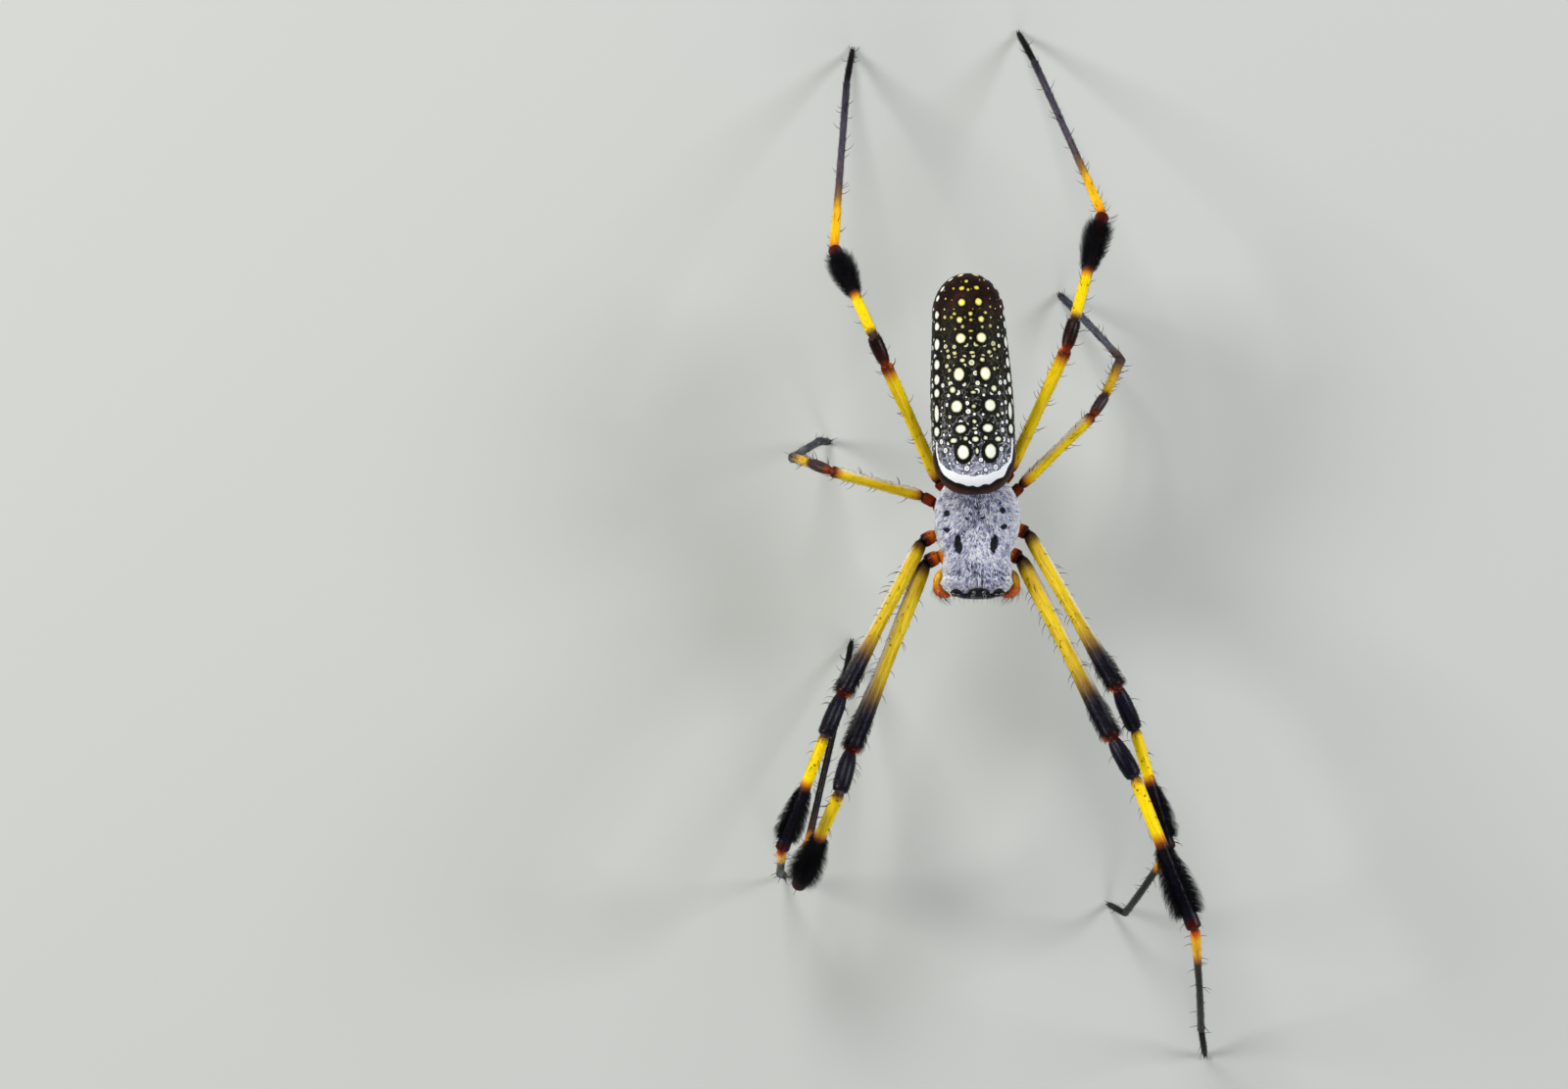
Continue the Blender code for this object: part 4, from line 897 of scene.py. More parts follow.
# %% Fields of the shield
MIDDLE_LINE = 0.13
x, y, z = np.moveaxis(chest, -1, 0)
off_line = np.abs(x - MIDDLE_LINE)
above = smooth_step(CARAPACE_BASE - 0.05, CARAPACE_BASE + 0.25, z - smooth_step(3.85, 4.2, -y))
marks = np.where(above > 0.5, inside_marks(x, y), -1.0)
rim_depth = 0.08 + 0.28 * hump(off_line, 0.8) + 0.26 * hump(off_line - 1.85, 0.35)
eye_rim = np.where(y < -5.53, 0.3, np.where(np.abs(x) < 2.6, rim_depth - np.abs(y + 5.55), -1.0))
marks = np.maximum(marks, np.minimum(eye_rim, 0.3))
to_front = smooth_step(1.8, 5.0, -y)
line = (hump(off_line - 0.08, 0.06) - 1.3 * hump(off_line - 0.25, 0.08)) * to_front
# Painted shade: dusk also rises in the side grooves and the middle pit, on top of the darker patches behind
# and at the front of the shield.
dusk = (0.60 * hump(x + 0.3, 1.2) * hump(y - 2.5, 0.9) + 0.45 * hump(x + 0.9, 0.9) * hump(y + 3.6, 0.9)
        + 0.45 * hump(x - 1.3, 0.9) * hump(y + 3.9, 0.8) + 0.30 * smooth_step(0.05, 0.3, groove_depth(x, y))
        - 0.12 * cloud_over(chest, 0.22, 7) - 0.7 * line)
dusk = np.clip(dusk, -1, 1)
print("bare share of the front body", round(float((marks > 0).mean()), 3))

# %% [markdown]
# ## Fur of the shield
# The shield looks silver because of its hair, and the cuticle below is nearly black. A silver
# paint would end in a hard smooth outline, so short flat hairs are grown over a skin that is
# only coloured like them. They keep clear of the bare marks, as on the spider.

# %% Cuticle under the fur
# Dark cuticle that a felt of flat silver hairs hides almost everywhere; it shows glossy black in
# the bare marks and brown on the breastplate. The felt itself is bump here, 0.1 mm strokes.
felted_shield = new_finish("felted shield cuticle", {"IOR": 1.56, "Specular IOR Level": 0.12})
shield = partial(add_node, felted_shield)
shield_fields = {"bare": marks, "furred": above, "dusk": dusk}
bare, by_fur, by_dusk = (shield("Attribute", {}, attribute_name=key)["Fac"] for key in shield_fields)
place = place_in_mm(felted_shield)
ragged = shield("TexNoise", {"Vector": place, "Scale": 5.0, "Detail": 3.0})["Fac"]
moved = shield("Math", {0: ragged, 1: 0.22, 2: -0.11}, operation="MULTIPLY_ADD")[0]
edge = shield("Math", {0: bare, 1: moved}, operation="ADD")[0]
is_bare = shield("MapRange", {"Value": edge, "From Min": -0.03, "From Max": 0.03})[0]
felt = shield("TexNoise", {"Vector": place, "Scale": 7.0, "Detail": 6.0, "Roughness": 0.7})["Fac"]
# Painted shade: the felt darkens with dusk, so also in the grooves and the pit.
felt_dusk = shield("Math", {0: by_dusk, 1: -0.22, 2: felt}, operation="MULTIPLY_ADD")[0]
silver = shield("ValToRGB", {"Fac": felt_dusk}, [(0.25, "#181A28"), (0.42, "#3A3F60"), (0.55, "#787CA4"),
                                                 (0.72, "#C4C7E6")])[0]
brown = shield("ValToRGB", {"Fac": felt}, [(0.3, "#1C120E"), (0.6, "#3A2518"), (0.8, "#6A4A2A")])[0]
by_side = shield("Mix", {0: by_fur, 6: brown, 7: silver}, data_type="RGBA")[2]
with_marks = shield("Mix", {0: is_bare, 6: by_side, 7: "#030304"}, data_type="RGBA")[2]
gloss = shield("MapRange", {"Value": is_bare, "To Min": 0.75, "To Max": 0.42})[0]
bump = shield("Bump", {"Height": felt, "Strength": 0.6, "Distance": 0.0001})[0]
set_surface(felted_shield, {"Base Color": with_marks, "Roughness": gloss, "Normal": bump})
grid_skin("front_body_skin", chest, felted_shield, shield_fields, ["carapace", "sternum"])

# %% Silver fur
# Flat scale-like hairs, white to lavender grey, that lie forwards and outwards over the shield.
# Their tone changes from one to the next, which gives the shield its salt and pepper look.
silver_hair = hair_finish("silver felt hair", [
    (0.0, "#12131E"), (0.25, "#3E4260"), (0.5, "#A4A8D2"), (0.72, "#E8EAFF"), (1.0, "#FFFFFF")],
    {"Roughness": 0.5, "IOR": 1.56})

# %% Fur over shield and flanks
parting = hump(off_line - 0.24, 0.07) * to_front
weight = above * (1 - smooth_step(-0.04, 0.0, marks)) * (1 - 0.45 * np.clip(dusk, 0, 1)) * (1 - 0.9 * parting)
fur = scatter(chest, 13000, 201, weight)
draw, root, count = fur["draw"], fur["root"], fur["count"]
lie = unit(np.stack([root[:, 0] * 0.5, np.full(count, -1.4), np.zeros(count)], axis=1))
calm = fur["pick"](hump(off_line, 0.32) * to_front)
lie = unit(lie + draw.normal(0, 0.42, lie.shape) * (1 - 0.85 * calm)[:, None])
grown = (0.75 + 0.5 * draw.random(count)) * (1 - 0.45 * smooth_step(4.2, 5.4, -root[:, 1]))
for share in (1.0, 0.5):
    reach = root + lie * (0.42 * share * grown)[:, None]
    grown = np.where(inside_marks(reach[:, 0], reach[:, 1]) > -0.02, 0.35 * grown, grown)
at_margin = smooth_step(0.80, 0.97, np.abs(root[:, 0]) / smooth_curve(CARAPACE_OUTLINE, root[:, 1])[:, 0])
tone = 0.80 + 0.24 * cloud_over(root, 0.15, 9) + draw.normal(0, 0.20, count)
# Painted shade: hairs darken with dusk, so also in the grooves and the pit.
tone = np.clip(tone - 0.60 * fur["pick"](dusk) + 0.15 * at_margin, 0, 1)
rise = (0.06 + 0.06 * draw.random(count) + 0.12 * at_margin) * grown
grow_hairs("shield_fur", fur, lie, 0.42 * grown, rise, 0.085, silver_hair, tone, "carapace_fur", sink=0.03)

# %% Hair of face and breastplate
# Long bristles stand on the brow, and short hair points down to the jaws, so that the black face
# isn't a bare shell.
short_coat("face_bristles", chest, 46, 203, (0.75, 0.5, 0.035), black_hair, (0, 0), "carapace_fur",
           (np.abs(y + 5.5) < 0.25) * (np.abs(x) < 2.3) * (z > 15.2), (0.0, -1.0, 0.25), 0.25, rings=3)
short_coat("face_hair", chest, 900, 204, (0.22, 0.07, 0.045), silver_hair, (0.1, 0.5), "carapace_fur",
           (y < -5.5) * (z > 14.2) * (z < 16.4), (0.0, -0.1, -1.0), 0.3, sink=0.03)
short_coat("breastplate_hair", chest, 2600, 202, (0.35, 0.12, 0.035), silver_hair, (0, 0.35),
           "underside_cuticle", (1 - above) * smooth_step(3.2, 2.9, -y), (0.0, -1.0, 0.0), 0.3)

# %% [markdown]
# ## Long round parts along a path
# Feelers, jaws, fangs, claws and spinnerets are all round bars along a bent path, thick and thin
# in turn. A curve with a bevel would give such a bar too, but not rows for hair to stand on. One
# function therefore makes its grid from the points of its path and its widths.

# %% Bar along a path
SIDES = (("left", 1), ("right", -1))


def bar_grid(path, widths, rows, columns):
    """Grid of a bar: path is a list of points, widths rows of (share, half width)."""
    shares = np.linspace(0, 1, rows)
    middles = smooth_curve([(index / (len(path) - 1), *point) for index, point in enumerate(path)], shares)
    slope = unit(np.gradient(middles, axis=0))
    side = unit(np.cross(slope[0], [0.3, 0.2, 1.0]))
    half = smooth_curve(widths, shares)[:, 0]
    turns = round_angles(columns)[:, None]
    grid = []
    for index in range(rows):
        side = unit(side - slope[index] * np.dot(side, slope[index]))
        ring = side * np.cos(turns) + np.cross(slope[index], side) * np.sin(turns)
        grid.append(middles[index] + ring * half[index])
    return np.array(grid)


# %% [markdown]
# ## Jaws
# Two stout chelicerae hang under the face, black-brown and glossy, each with a curved fang folded
# in at its end. Both are bars: the bulge of the jaw and the point of the fang are only changes of
# width. The photograph shows them only from above, so their form is the species'.

# %% Jaws and fangs
# Thick hard cuticle, the glossiest on the body, nearly black with a red-brown glow.
jaw_cuticle = new_finish("glossy jaw cuticle", {"Roughness": 0.22, "IOR": 1.56, "Coat Weight": 0.3})
hard = partial(add_node, jaw_cuticle)
place = place_in_mm(jaw_cuticle)
cloud = hard("TexNoise", {"Vector": place, "Scale": 1.6, "Detail": 4.0})["Fac"]
glow = hard("ValToRGB", {"Fac": cloud}, [(0.3, "#0C0909"), (0.6, "#1C0F0C"), (0.8, "#3A160E")])[0]
pits = hard("TexNoise", {"Vector": place, "Scale": 14.0, "Detail": 3.0})["Fac"]
bump = hard("Bump", {"Height": pits, "Strength": 0.35, "Distance": 0.00003})[0]
set_surface(jaw_cuticle, {"Base Color": glow, "Normal": bump})

JAW_PATH = np.array([(1.02, -4.96, 14.75), (1.03, -5.02, 13.45), (1.06, -4.98, 12.15), (1.05, -4.88, 10.90)])
JAW_WIDTHS = [(0, 0.62), (0.12, 0.78), (0.4, 0.82), (0.7, 0.74), (0.9, 0.60), (0.97, 0.46), (1, 0.28)]
FANG_PATH = np.array([(1.10, -4.96, 11.15), (1.15, -4.98, 10.68), (0.80, -4.74, 10.28), (0.39, -4.46, 10.35)])
FANG_WIDTHS = [(0, 0.26), (0.3, 0.24), (0.7, 0.13), (1, 0.02)]
for name, side in SIDES:
    jaw = bar_grid(JAW_PATH * (side, 1, 1), JAW_WIDTHS, 70, 40)
    fang = bar_grid(FANG_PATH * (side, 1, 1), FANG_WIDTHS, 40, 16)
    grid_skin(f"jaw_{name}", jaw, jaw_cuticle, replaces=[f"chelicera_{name}"])
    grid_skin(f"fang_{name}", fang, jaw_cuticle)
    short_coat(f"jaw_{name}_hair", jaw, 900, 300 + side, (0.34, 0.16, 0.026), black_hair, (0.5, 0.5),
               "jaw_cuticle")

# %% [markdown]
# ## Palps
# The palps are the feelers beside the jaws: pale orange-yellow, with a red-orange tip that
# carries long thin bristles. Narrow necks part their segments, so the list of widths falls at
# each, and the colour follows the share of the way along.

# %% Palp cuticle
# As thin as the leg cuticle but with orange pigment, which deepens towards the tip.
palp_cuticle = new_finish("orange palp cuticle", {
    "Roughness": 0.34, "IOR": 1.56, "Subsurface Weight": 0.05, "Subsurface Scale": 0.0005})
feeler = partial(add_node, palp_cuticle)
along = feeler("Attribute", {}, attribute_name="share")["Fac"]
bands = feeler("ValToRGB", {"Fac": along}, [
    (0.0, "#6A2408"), (0.30, "#E08A10"), (0.44, "#F8B010"), (0.62, "#FFC414"), (0.69, "#FF9A0A"),
    (0.74, "#FF7A06"), (0.86, "#FF7006"), (1.0, "#F05404")])[0]
cloud = feeler("TexNoise", {"Vector": place_in_mm(palp_cuticle), "Scale": 4.0, "Detail": 4.0})["Fac"]
shade = feeler("ValToRGB", {"Fac": cloud}, [(0.35, "#B4A68C"), (0.6, "#FFFFFF")])[0]
mottled = feeler("Mix", {0: 0.6, 6: bands, 7: shade}, data_type="RGBA", blend_type="MULTIPLY")[2]
bump = feeler("Bump", {"Height": cloud, "Strength": 0.4, "Distance": 0.00004})[0]
set_surface(palp_cuticle, {"Base Color": mottled, "Normal": bump})

# %% Palps and their bristles
PALP_PATH = np.array([(0.97, -2.95, 12.15), (1.40, -3.50, 12.05), (2.25, -3.62, 12.25), (3.02, -3.66, 12.75),
                      (3.36, -4.15, 13.05), (3.46, -4.80, 12.90), (3.12, -5.42, 12.30), (2.28, -5.72, 11.80)])
PALP_WIDTHS = [(0, 0.34), (0.1, 0.38), (0.25, 0.34), (0.40, 0.32), (0.46, 0.27), (0.52, 0.34), (0.62, 0.34),
               (0.68, 0.30), (0.76, 0.43), (0.9, 0.38), (0.97, 0.22), (1, 0.10)]
PALP_ROWS, PALP_COLUMNS = 110, 28
share = np.repeat(np.linspace(0, 1, PALP_ROWS)[:, None], PALP_COLUMNS, axis=1)
for name, side in SIDES:
    palp = bar_grid(PALP_PATH * (side, 1, 1), PALP_WIDTHS, PALP_ROWS, PALP_COLUMNS)
    grid_skin(f"palp_{name}_skin", palp, palp_cuticle, {"share": share}, [f"palp_{name}"])
    place = scatter(palp, 80, 320 + side, 0.12 + smooth_step(0.66, 0.85, share))
    draw, count = place["draw"], place["count"]
    grown = (0.5 + 0.7 * draw.random(count)) * (0.4 + 0.6 * smooth_step(0.6, 0.85, place["pick"](share)))
    grow_hairs(f"palp_{name}_bristles", place, place["along"] * 0.6 + np.array([0, -0.8, 0.1]), 0.9 * grown,
               0.45 * grown, 0.032, black_hair, draw.random(count), "brush_hair", rings=3)

# %% [markdown]
# ## Eyes
# Eight simple eyes stand in three groups: four on a black mound in the middle of the face, and
# two on a small black tubercle at each corner. A lens is a clear dome over black, so a black
# gloss with a clear coat shows the lamps as small sharp points.

# %% Mounds and lenses
EYE_SLOPE = math.radians(50.0)
OUT = np.array([0.0, -math.sin(EYE_SLOPE), math.cos(EYE_SLOPE)])
UPHILL = np.array([0.0, math.cos(EYE_SLOPE), math.sin(EYE_SLOPE)])
SIDEWAYS = np.array([1.0, 0.0, 0.0])
EYE_RADIUS = 0.215
# For each group its middle, the half width and half height of its mound, and its lenses.
EYE_GROUPS = {
    "eyes_median": ((0.10, -5.42, 16.55), 0.95, 0.50,
                    ((-0.50, -0.22), (0.50, -0.22), (-0.42, 0.24), (0.42, 0.24))),
    "eyes_left": ((1.86, -5.44, 16.10), 0.48, 0.40, ((-0.20, -0.06), (0.22, 0.04))),
    "eyes_right": ((-1.86, -5.44, 16.10), 0.48, 0.40, ((0.20, -0.06), (-0.22, 0.04))),
}
# The coat over the lens gives the sharp points of light; the mound round it is dull.
eye_lens = new_finish("eye lens over black", {
    "Base Color": "#050506", "Roughness": 0.05, "IOR": 1.5, "Coat Weight": 1.0, "Coat Roughness": 0.02})
eye_mound = new_finish("black eye mound", {
    "Base Color": "#050505", "Roughness": 0.5, "Specular IOR Level": 0.15})


def dome_grid(centre, half_x, half_y, height, rows, columns):
    """Grid of a flattened ball on the slope of the face."""
    turns = round_angles(columns)[:, None]
    level = np.cos(turns) * SIDEWAYS * half_x - np.sin(turns) * UPHILL * half_y
    return np.array([centre + OUT * height * math.cos(angle) + level * math.sin(angle)
                     for angle in np.linspace(0.02, math.pi - 0.02, rows)])


for name, (centre, half_x, half_y, eyes) in EYE_GROUPS.items():
    mound = dome_grid(np.array(centre) - OUT * 0.05, half_x, half_y, 0.30, 24, 40)
    grid_skin(f"{name}_mound", mound, eye_mound)
    for index, (across, uphill) in enumerate(eyes):
        seat = np.array(centre) + SIDEWAYS * across + UPHILL * uphill + OUT * 0.14
        lens_grid = dome_grid(seat, EYE_RADIUS, EYE_RADIUS, EYE_RADIUS, 20, 28)
        replaced = [name] if index == 0 else ()
        grid_skin(f"{name}_lens_{index + 1}", lens_grid, eye_lens, replaces=replaced)

# %% [markdown]
# ## Abdomen
# The abdomen is a soft cylinder, square at the front and round behind, stretched smooth by the
# eggs and fat inside. Its half width is a formula and not a list of sizes, because so smooth a
# skin would show every ripple between them.

# %% Form of the abdomen
ABDOMEN_FRONT = np.array([-0.20, 3.06, 17.90])
ABDOMEN_REAR = np.array([-0.97, 22.15, 16.95])
ABDOMEN_LENGTH = np.linalg.norm(ABDOMEN_REAR - ABDOMEN_FRONT)
ABDOMEN_HALF = 3.60
FRONT_ROUNDING, REAR_ROUNDING = 4.4, 3.4
HEIGHT_SHARE = 0.93
ABDOMEN_ROWS, ABDOMEN_COLUMNS = 230, 256


def abdomen_half(distance):
    """Half width at a distance from the front: square at the front, round at the rear."""
    width = ABDOMEN_HALF - 0.55 * smooth_step(7.0, 18.0, distance)
    front = np.clip(1 - distance / FRONT_ROUNDING, 0, 1)
    past = np.clip((distance - (ABDOMEN_LENGTH - REAR_ROUNDING)) / REAR_ROUNDING, 0, 1)
    return width * (1 - front ** 2.6) ** (1 / 2.6) * np.sqrt(np.maximum(1 - past ** 2, 0))


steps = np.linspace(0.004, 0.996, ABDOMEN_ROWS)[:, None]
distance = ABDOMEN_LENGTH * (0.65 * steps + 0.35 * (1 - np.cos(math.pi * steps)) / 2)
backwards = unit(ABDOMEN_REAR - ABDOMEN_FRONT)
sideways = unit(np.cross(backwards, -UP))
upward = np.cross(backwards, sideways)
upward = upward * np.sign(upward[2])
turns = round_angles(ABDOMEN_COLUMNS)
half = abdomen_half(distance)
ring = sideways * np.sin(turns)[:, None] + upward * np.cos(turns)[:, None] * HEIGHT_SHARE
abdomen = ABDOMEN_FRONT + backwards * distance[..., None] + ring * half[..., None]
print("abdomen", round(ABDOMEN_LENGTH, 2), "mm long")

# %% [markdown]
# ## Marks of the abdomen
# Nine pairs of pale spots run down the back, white in front and yellow behind, with small ones
# between them and a row of long ones on each flank. A white band crosses the front like a U.
# Places are given as millimetres along the back and degrees round it from the middle line,
# because both stay true where the skin curves away from the eye.

# %% Places of spots and band
# Along, angle of the right one and of the left one, half length, half width.
SPOT_PAIRS = (
    (3.50, -16.5, 22.3, 0.60, 0.50), (5.50, -18.5, 19.5, 0.34, 0.46), (7.45, -23.1, 24.5, 0.50, 0.50),
    (10.20, -18.4, 20.0, 0.56, 0.46), (13.30, -14.5, 17.5, 0.42, 0.43), (14.90, -15.6, 18.9, 0.26, 0.26),
    (16.40, -11.5, 16.6, 0.31, 0.30), (17.66, -12.3, 17.4, 0.17, 0.23), (18.90, -30.0, 42.0, 0.15, 0.26),
    (4.55, -29.6, 35.0, 0.20, 0.31), (4.66, -12.0, 15.6, 0.16, 0.18), (8.90, -28.3, 31.7, 0.26, 0.27),
    (11.40, -12.7, 16.3, 0.17, 0.22), (12.05, -24.4, 28.3, 0.16, 0.20), (12.30, -36.0, 38.0, 0.14, 0.16),
    (6.60, -34.0, 36.0, 0.16, 0.17), (10.60, -33.0, 35.0, 0.16, 0.15), (15.45, -24.0, 27.0, 0.12, 0.17),
    (5.45, -62.0, 64.0, 0.40, 0.42), (7.00, -60.0, 63.5, 0.72, 0.34), (8.75, -58.6, 67.0, 0.36, 0.38),
    (9.90, -58.5, 67.5, 0.42, 0.38), (11.20, -59.0, 69.5, 0.42, 0.40), (12.95, -60.0, 71.0, 0.48, 0.38),
    (14.50, -61.0, 76.0, 0.34, 0.36), (15.50, -61.5, 78.0, 0.32, 0.32), (16.95, -66.0, 78.0, 0.26, 0.28),
    (6.20, -88.0, 90.0, 0.44, 0.40), (8.30, -90.0, 92.0, 0.50, 0.42), (10.60, -92.0, 94.0, 0.52, 0.40),
    (12.90, -93.0, 95.0, 0.46, 0.38), (15.00, -95.0, 97.0, 0.40, 0.34), (16.95, -92.0, 94.0, 0.30, 0.26),
    (17.75, -62.0, 74.0, 0.22, 0.24), (18.55, -58.0, 70.0, 0.16, 0.22), (7.20, -150.0, 150.0, 0.60, 0.42),
    (9.60, -152.0, 152.0, 0.60, 0.42), (12.00, -154.0, 154.0, 0.52, 0.38),
)
MIDDLE_SPOTS = (
    (4.57, 1.4, 0.21, 0.27), (12.03, 1.8, 0.12, 0.22), (8.6, 1.0, 0.12, 0.22), (7.4, 1.0, 0.14, 0.17),
    (6.1, 1.0, 0.16, 0.17), (5.5, 1.0, 0.10, 0.20), (15.39, 2.3, 0.18, 0.18), (14.86, 2.3, 0.12, 0.14),
    (18.27, -3.0, 0.13, 0.16), (17.49, 0.3, 0.12, 0.12), (13.9, 1.5, 0.08, 0.22), (3.55, 3.0, 0.24, 0.12),
)
# Along and across the skin in mm, from the right flank over the back to the left one.
BAND = ((4.50, -3.95), (3.6, -4.02), (2.7, -3.75), (1.75, -2.55), (1.21, -1.33), (1.0, 0.0), (1.21, 1.36),
        (1.81, 2.62), (2.9, 3.85), (3.8, 4.15), (4.50, 4.20))
FRONT_EDGE = ((2.4, -7.5), *BAND, (2.4, 7.5))


def inside_spots(along, angle, half):
    """Signed distances in mm to the nearest spot and its dark halo; half is the skin's half width."""
    inside, in_halo = np.full((2,) + np.shape(along), -1.0)
    spots = [(row[0], side, *row[3:]) for row in SPOT_PAIRS for side in row[1:3]]
    for place, middle, half_along, half_across in spots + list(MIDDLE_SPOTS):
        across = np.radians((angle - middle + 180) % 360 - 180) * half
        size = math.sqrt(half_along * half_across)
        depth = (1 - np.hypot((along - place) / half_along, across / half_across)) * size
        inside = np.maximum(inside, depth)
        in_halo = np.maximum(in_halo, depth + 0.08 + 0.55 * size)
    return np.clip(inside, -1, 1), np.clip(in_halo, -1, 1)


def inside_band(along, across):
    """Signed distance in mm to the band across the front, 0.9 mm wide in the middle and thin at its ends."""
    best = np.full(np.shape(along), 9.0)
    for (a1, b1), (a2, b2) in zip(BAND, BAND[1:]):
        run, turn = a2 - a1, b2 - b1
        share = np.clip(((along - a1) * run + (across - b1) * turn) / (run ** 2 + turn ** 2), 0, 1)
        best = np.minimum(best, np.hypot(along - a1 - share * run, across - b1 - share * turn))
    return np.clip(0.43 - 0.28 * smooth_step(1.3, 2.9, along) + 0.05 * np.sin(across * 5.2) - best, -1, 1)


# %% Fields of the abdomen
shape = (ABDOMEN_ROWS, ABDOMEN_COLUMNS)
along = np.broadcast_to(distance, shape)
angle = np.broadcast_to(180 - (np.degrees(turns) + 180) % 360, shape)
from_top = np.abs(angle)
spot, in_halo = inside_spots(along, angle, np.maximum(half, 0.3))
across = np.radians(angle) * np.maximum(half, 3.0)
band = np.where(from_top < 100, inside_band(along, across), -1)
edge_along = np.interp(across, [place[1] for place in FRONT_EDGE], [place[0] for place in FRONT_EDGE])
edge_along = edge_along + 0.25 * cloud_over(abdomen, 1.0, 5) - 0.3 * smooth_step(55, 75, from_top)
abdomen_fields = {
    "spot": spot, "in_halo": in_halo, "band": band, "along": along / ABDOMEN_LENGTH,
    "yellow": along / ABDOMEN_LENGTH * (1 - smooth_step(38, 55, from_top)),
    "front": smooth_step(-0.25, 0.1, edge_along - along), "belly": smooth_step(100, 128, from_top),
    "flat": np.stack([along, np.radians(angle) * np.maximum(half, 1.5), 0 * along], axis=2),
}

print("large spots cover", round(float((spot > 0).mean()), 3), "of the grid")

# %% [markdown]
# ## Skin of the abdomen
# Under the clear skin lie white crystals of guanine, which make the spots, over dark pigment. The
# pattern is laid down from below, as a painter would: ground, fine lines, dots, large spots, the
# front and the belly. Each layer covers the one before by a share that comes from a field of the
# mesh or from noise, so it stays sharp at any distance.

# %% Abdomen skin: ground
# Clear soft skin over pigment: olive black between the spots, silver with guanine near the front,
# maroon behind. It is moist and finely wrinkled, so it has a soft broken gloss.
spotted_skin = new_finish("spotted abdomen skin", {"IOR": 1.45, "Specular IOR Level": 0.12})
skin = partial(add_node, spotted_skin)
read = {key: skin("Attribute", {}, attribute_name=key)["Fac"] for key in abdomen_fields if key != "flat"}
unrolled = skin("Attribute", {}, attribute_name="flat")["Vector"]
place = place_in_mm(spotted_skin)
cloud = skin("TexNoise", {"Vector": place, "Scale": 1.3, "Detail": 5.0, "Roughness": 0.65})["Fac"]
fine = skin("TexNoise", {"Vector": place, "Scale": 5.5, "Detail": 5.0, "Roughness": 0.7})["Fac"]
ground = skin("ValToRGB", {"Fac": read["along"]}, [
    (0.0, "#6A6E88"), (0.12, "#5A5C70"), (0.20, "#222226"), (0.32, "#0A0908"), (0.62, "#070603"),
    (0.76, "#0B0603"), (0.86, "#140402"), (1.0, "#120302")])[0]
second = skin("ValToRGB", {"Fac": read["along"]}, [
    (0.0, "#C6C8DE"), (0.13, "#A8AABC"), (0.24, "#3C3A38"), (0.45, "#191709"), (0.74, "#211905"),
    (0.86, "#3A0C04"), (1.0, "#300804")])[0]
clouding = skin("MapRange", {"Value": cloud, "From Min": 0.47, "From Max": 0.64, "To Max": 0.75})[0]
clouded = skin("Mix", {0: clouding, 6: ground, 7: second}, data_type="RGBA")[2]

# %% Abdomen skin: fine rings and net
# Thin pale lines run in rings round the large spots and join into a net. The rings come from
# the distance to the spots, and noise breaks both into dashes.
waves = skin("Math", {0: read["in_halo"], 1: 12.5}, operation="MULTIPLY")[0]
waves = skin("Math", {0: waves}, operation="SINE")[0]
ring_line = skin("MapRange", {"Value": waves, "From Min": 0.62, "From Max": 0.92})[0]
net = skin("TexVoronoi", {"Vector": unrolled, "Scale": 1.5, "Randomness": 0.9}, voronoi_dimensions="2D",
           feature="DISTANCE_TO_EDGE")["Distance"]
net_line = skin("MapRange", {
    "Value": net, "From Min": 0.03, "From Max": 0.10, "To Min": 1.0, "To Max": 0.0})[0]
lines = skin("Math", {0: net_line, 1: ring_line}, operation="MAXIMUM")[0]
broken = skin("MapRange", {"Value": fine, "From Min": 0.44, "From Max": 0.54})[0]
line_share = skin("ValToRGB", {"Fac": read["along"]}, [
    (0.0, "#FFFFFF"), (0.2, "#D8D8D8"), (0.34, "#A0A0A0"), (0.6, "#7C7C7C"), (0.80, "#5A5A5A"),
    (0.88, "#1C1C1C")])[0]
for factor in (broken, line_share):
    lines = skin("Math", {0: lines, 1: factor}, operation="MULTIPLY")[0]
line_colour = skin("ValToRGB", {"Fac": read["along"]}, [
    (0.0, "#E4E6F4"), (0.3, "#BCBDC0"), (0.55, "#8E8C74"), (0.8, "#74662A")])[0]
lined = skin("Mix", {0: lines, 6: clouded, 7: line_colour}, data_type="RGBA")[2]

# %% Abdomen skin: small dots
# White dots 0.3 mm wide, nearly 1 mm apart, each with a black edge; towards the rear they turn
# yellow and small.
cells = skin("TexVoronoi", {"Vector": unrolled, "Scale": 1.22, "Randomness": 0.62}, voronoi_dimensions="2D")
lot = skin("SeparateColor", {"Color": cells["Color"]})[0]
dot_size = skin("MapRange", {"Value": lot, "To Min": 0.09, "To Max": 0.30})[0]
shrink = skin("MapRange", {"Value": read["along"], "From Min": 0.66, "From Max": 0.86, "To Max": 0.14})[0]
dot_depth = dot_size
for less in (shrink, cells["Distance"]):
    dot_depth = skin("Math", {0: dot_depth, 1: less}, operation="SUBTRACT")[0]
dot_edge = skin("MapRange", {"Value": dot_depth, "From Min": -0.13, "From Max": -0.07, "To Max": 0.9})[0]
edged = skin("Mix", {0: dot_edge, 6: lined, 7: "#070605"}, data_type="RGBA")[2]
dot = skin("MapRange", {"Value": dot_depth, "From Min": -0.015, "From Max": 0.035, "To Max": 0.95})[0]
dot_heart = skin("MapRange", {"Value": dot_depth, "From Min": 0.11, "From Max": 0.16, "To Max": 0.35})[0]
dot = skin("Math", {0: dot, 1: dot_heart}, operation="SUBTRACT", use_clamp=True)[0]
dot_colour = skin("ValToRGB", {"Fac": read["yellow"]}, [
    (0.0, "#F0F1F6"), (0.45, "#F0F0E4"), (0.62, "#DAD8AC"), (0.78, "#B0A84A"), (0.93, "#C0AC1E")])[0]
dotted = skin("Mix", {0: dot, 6: edged, 7: dot_colour}, data_type="RGBA")[2]

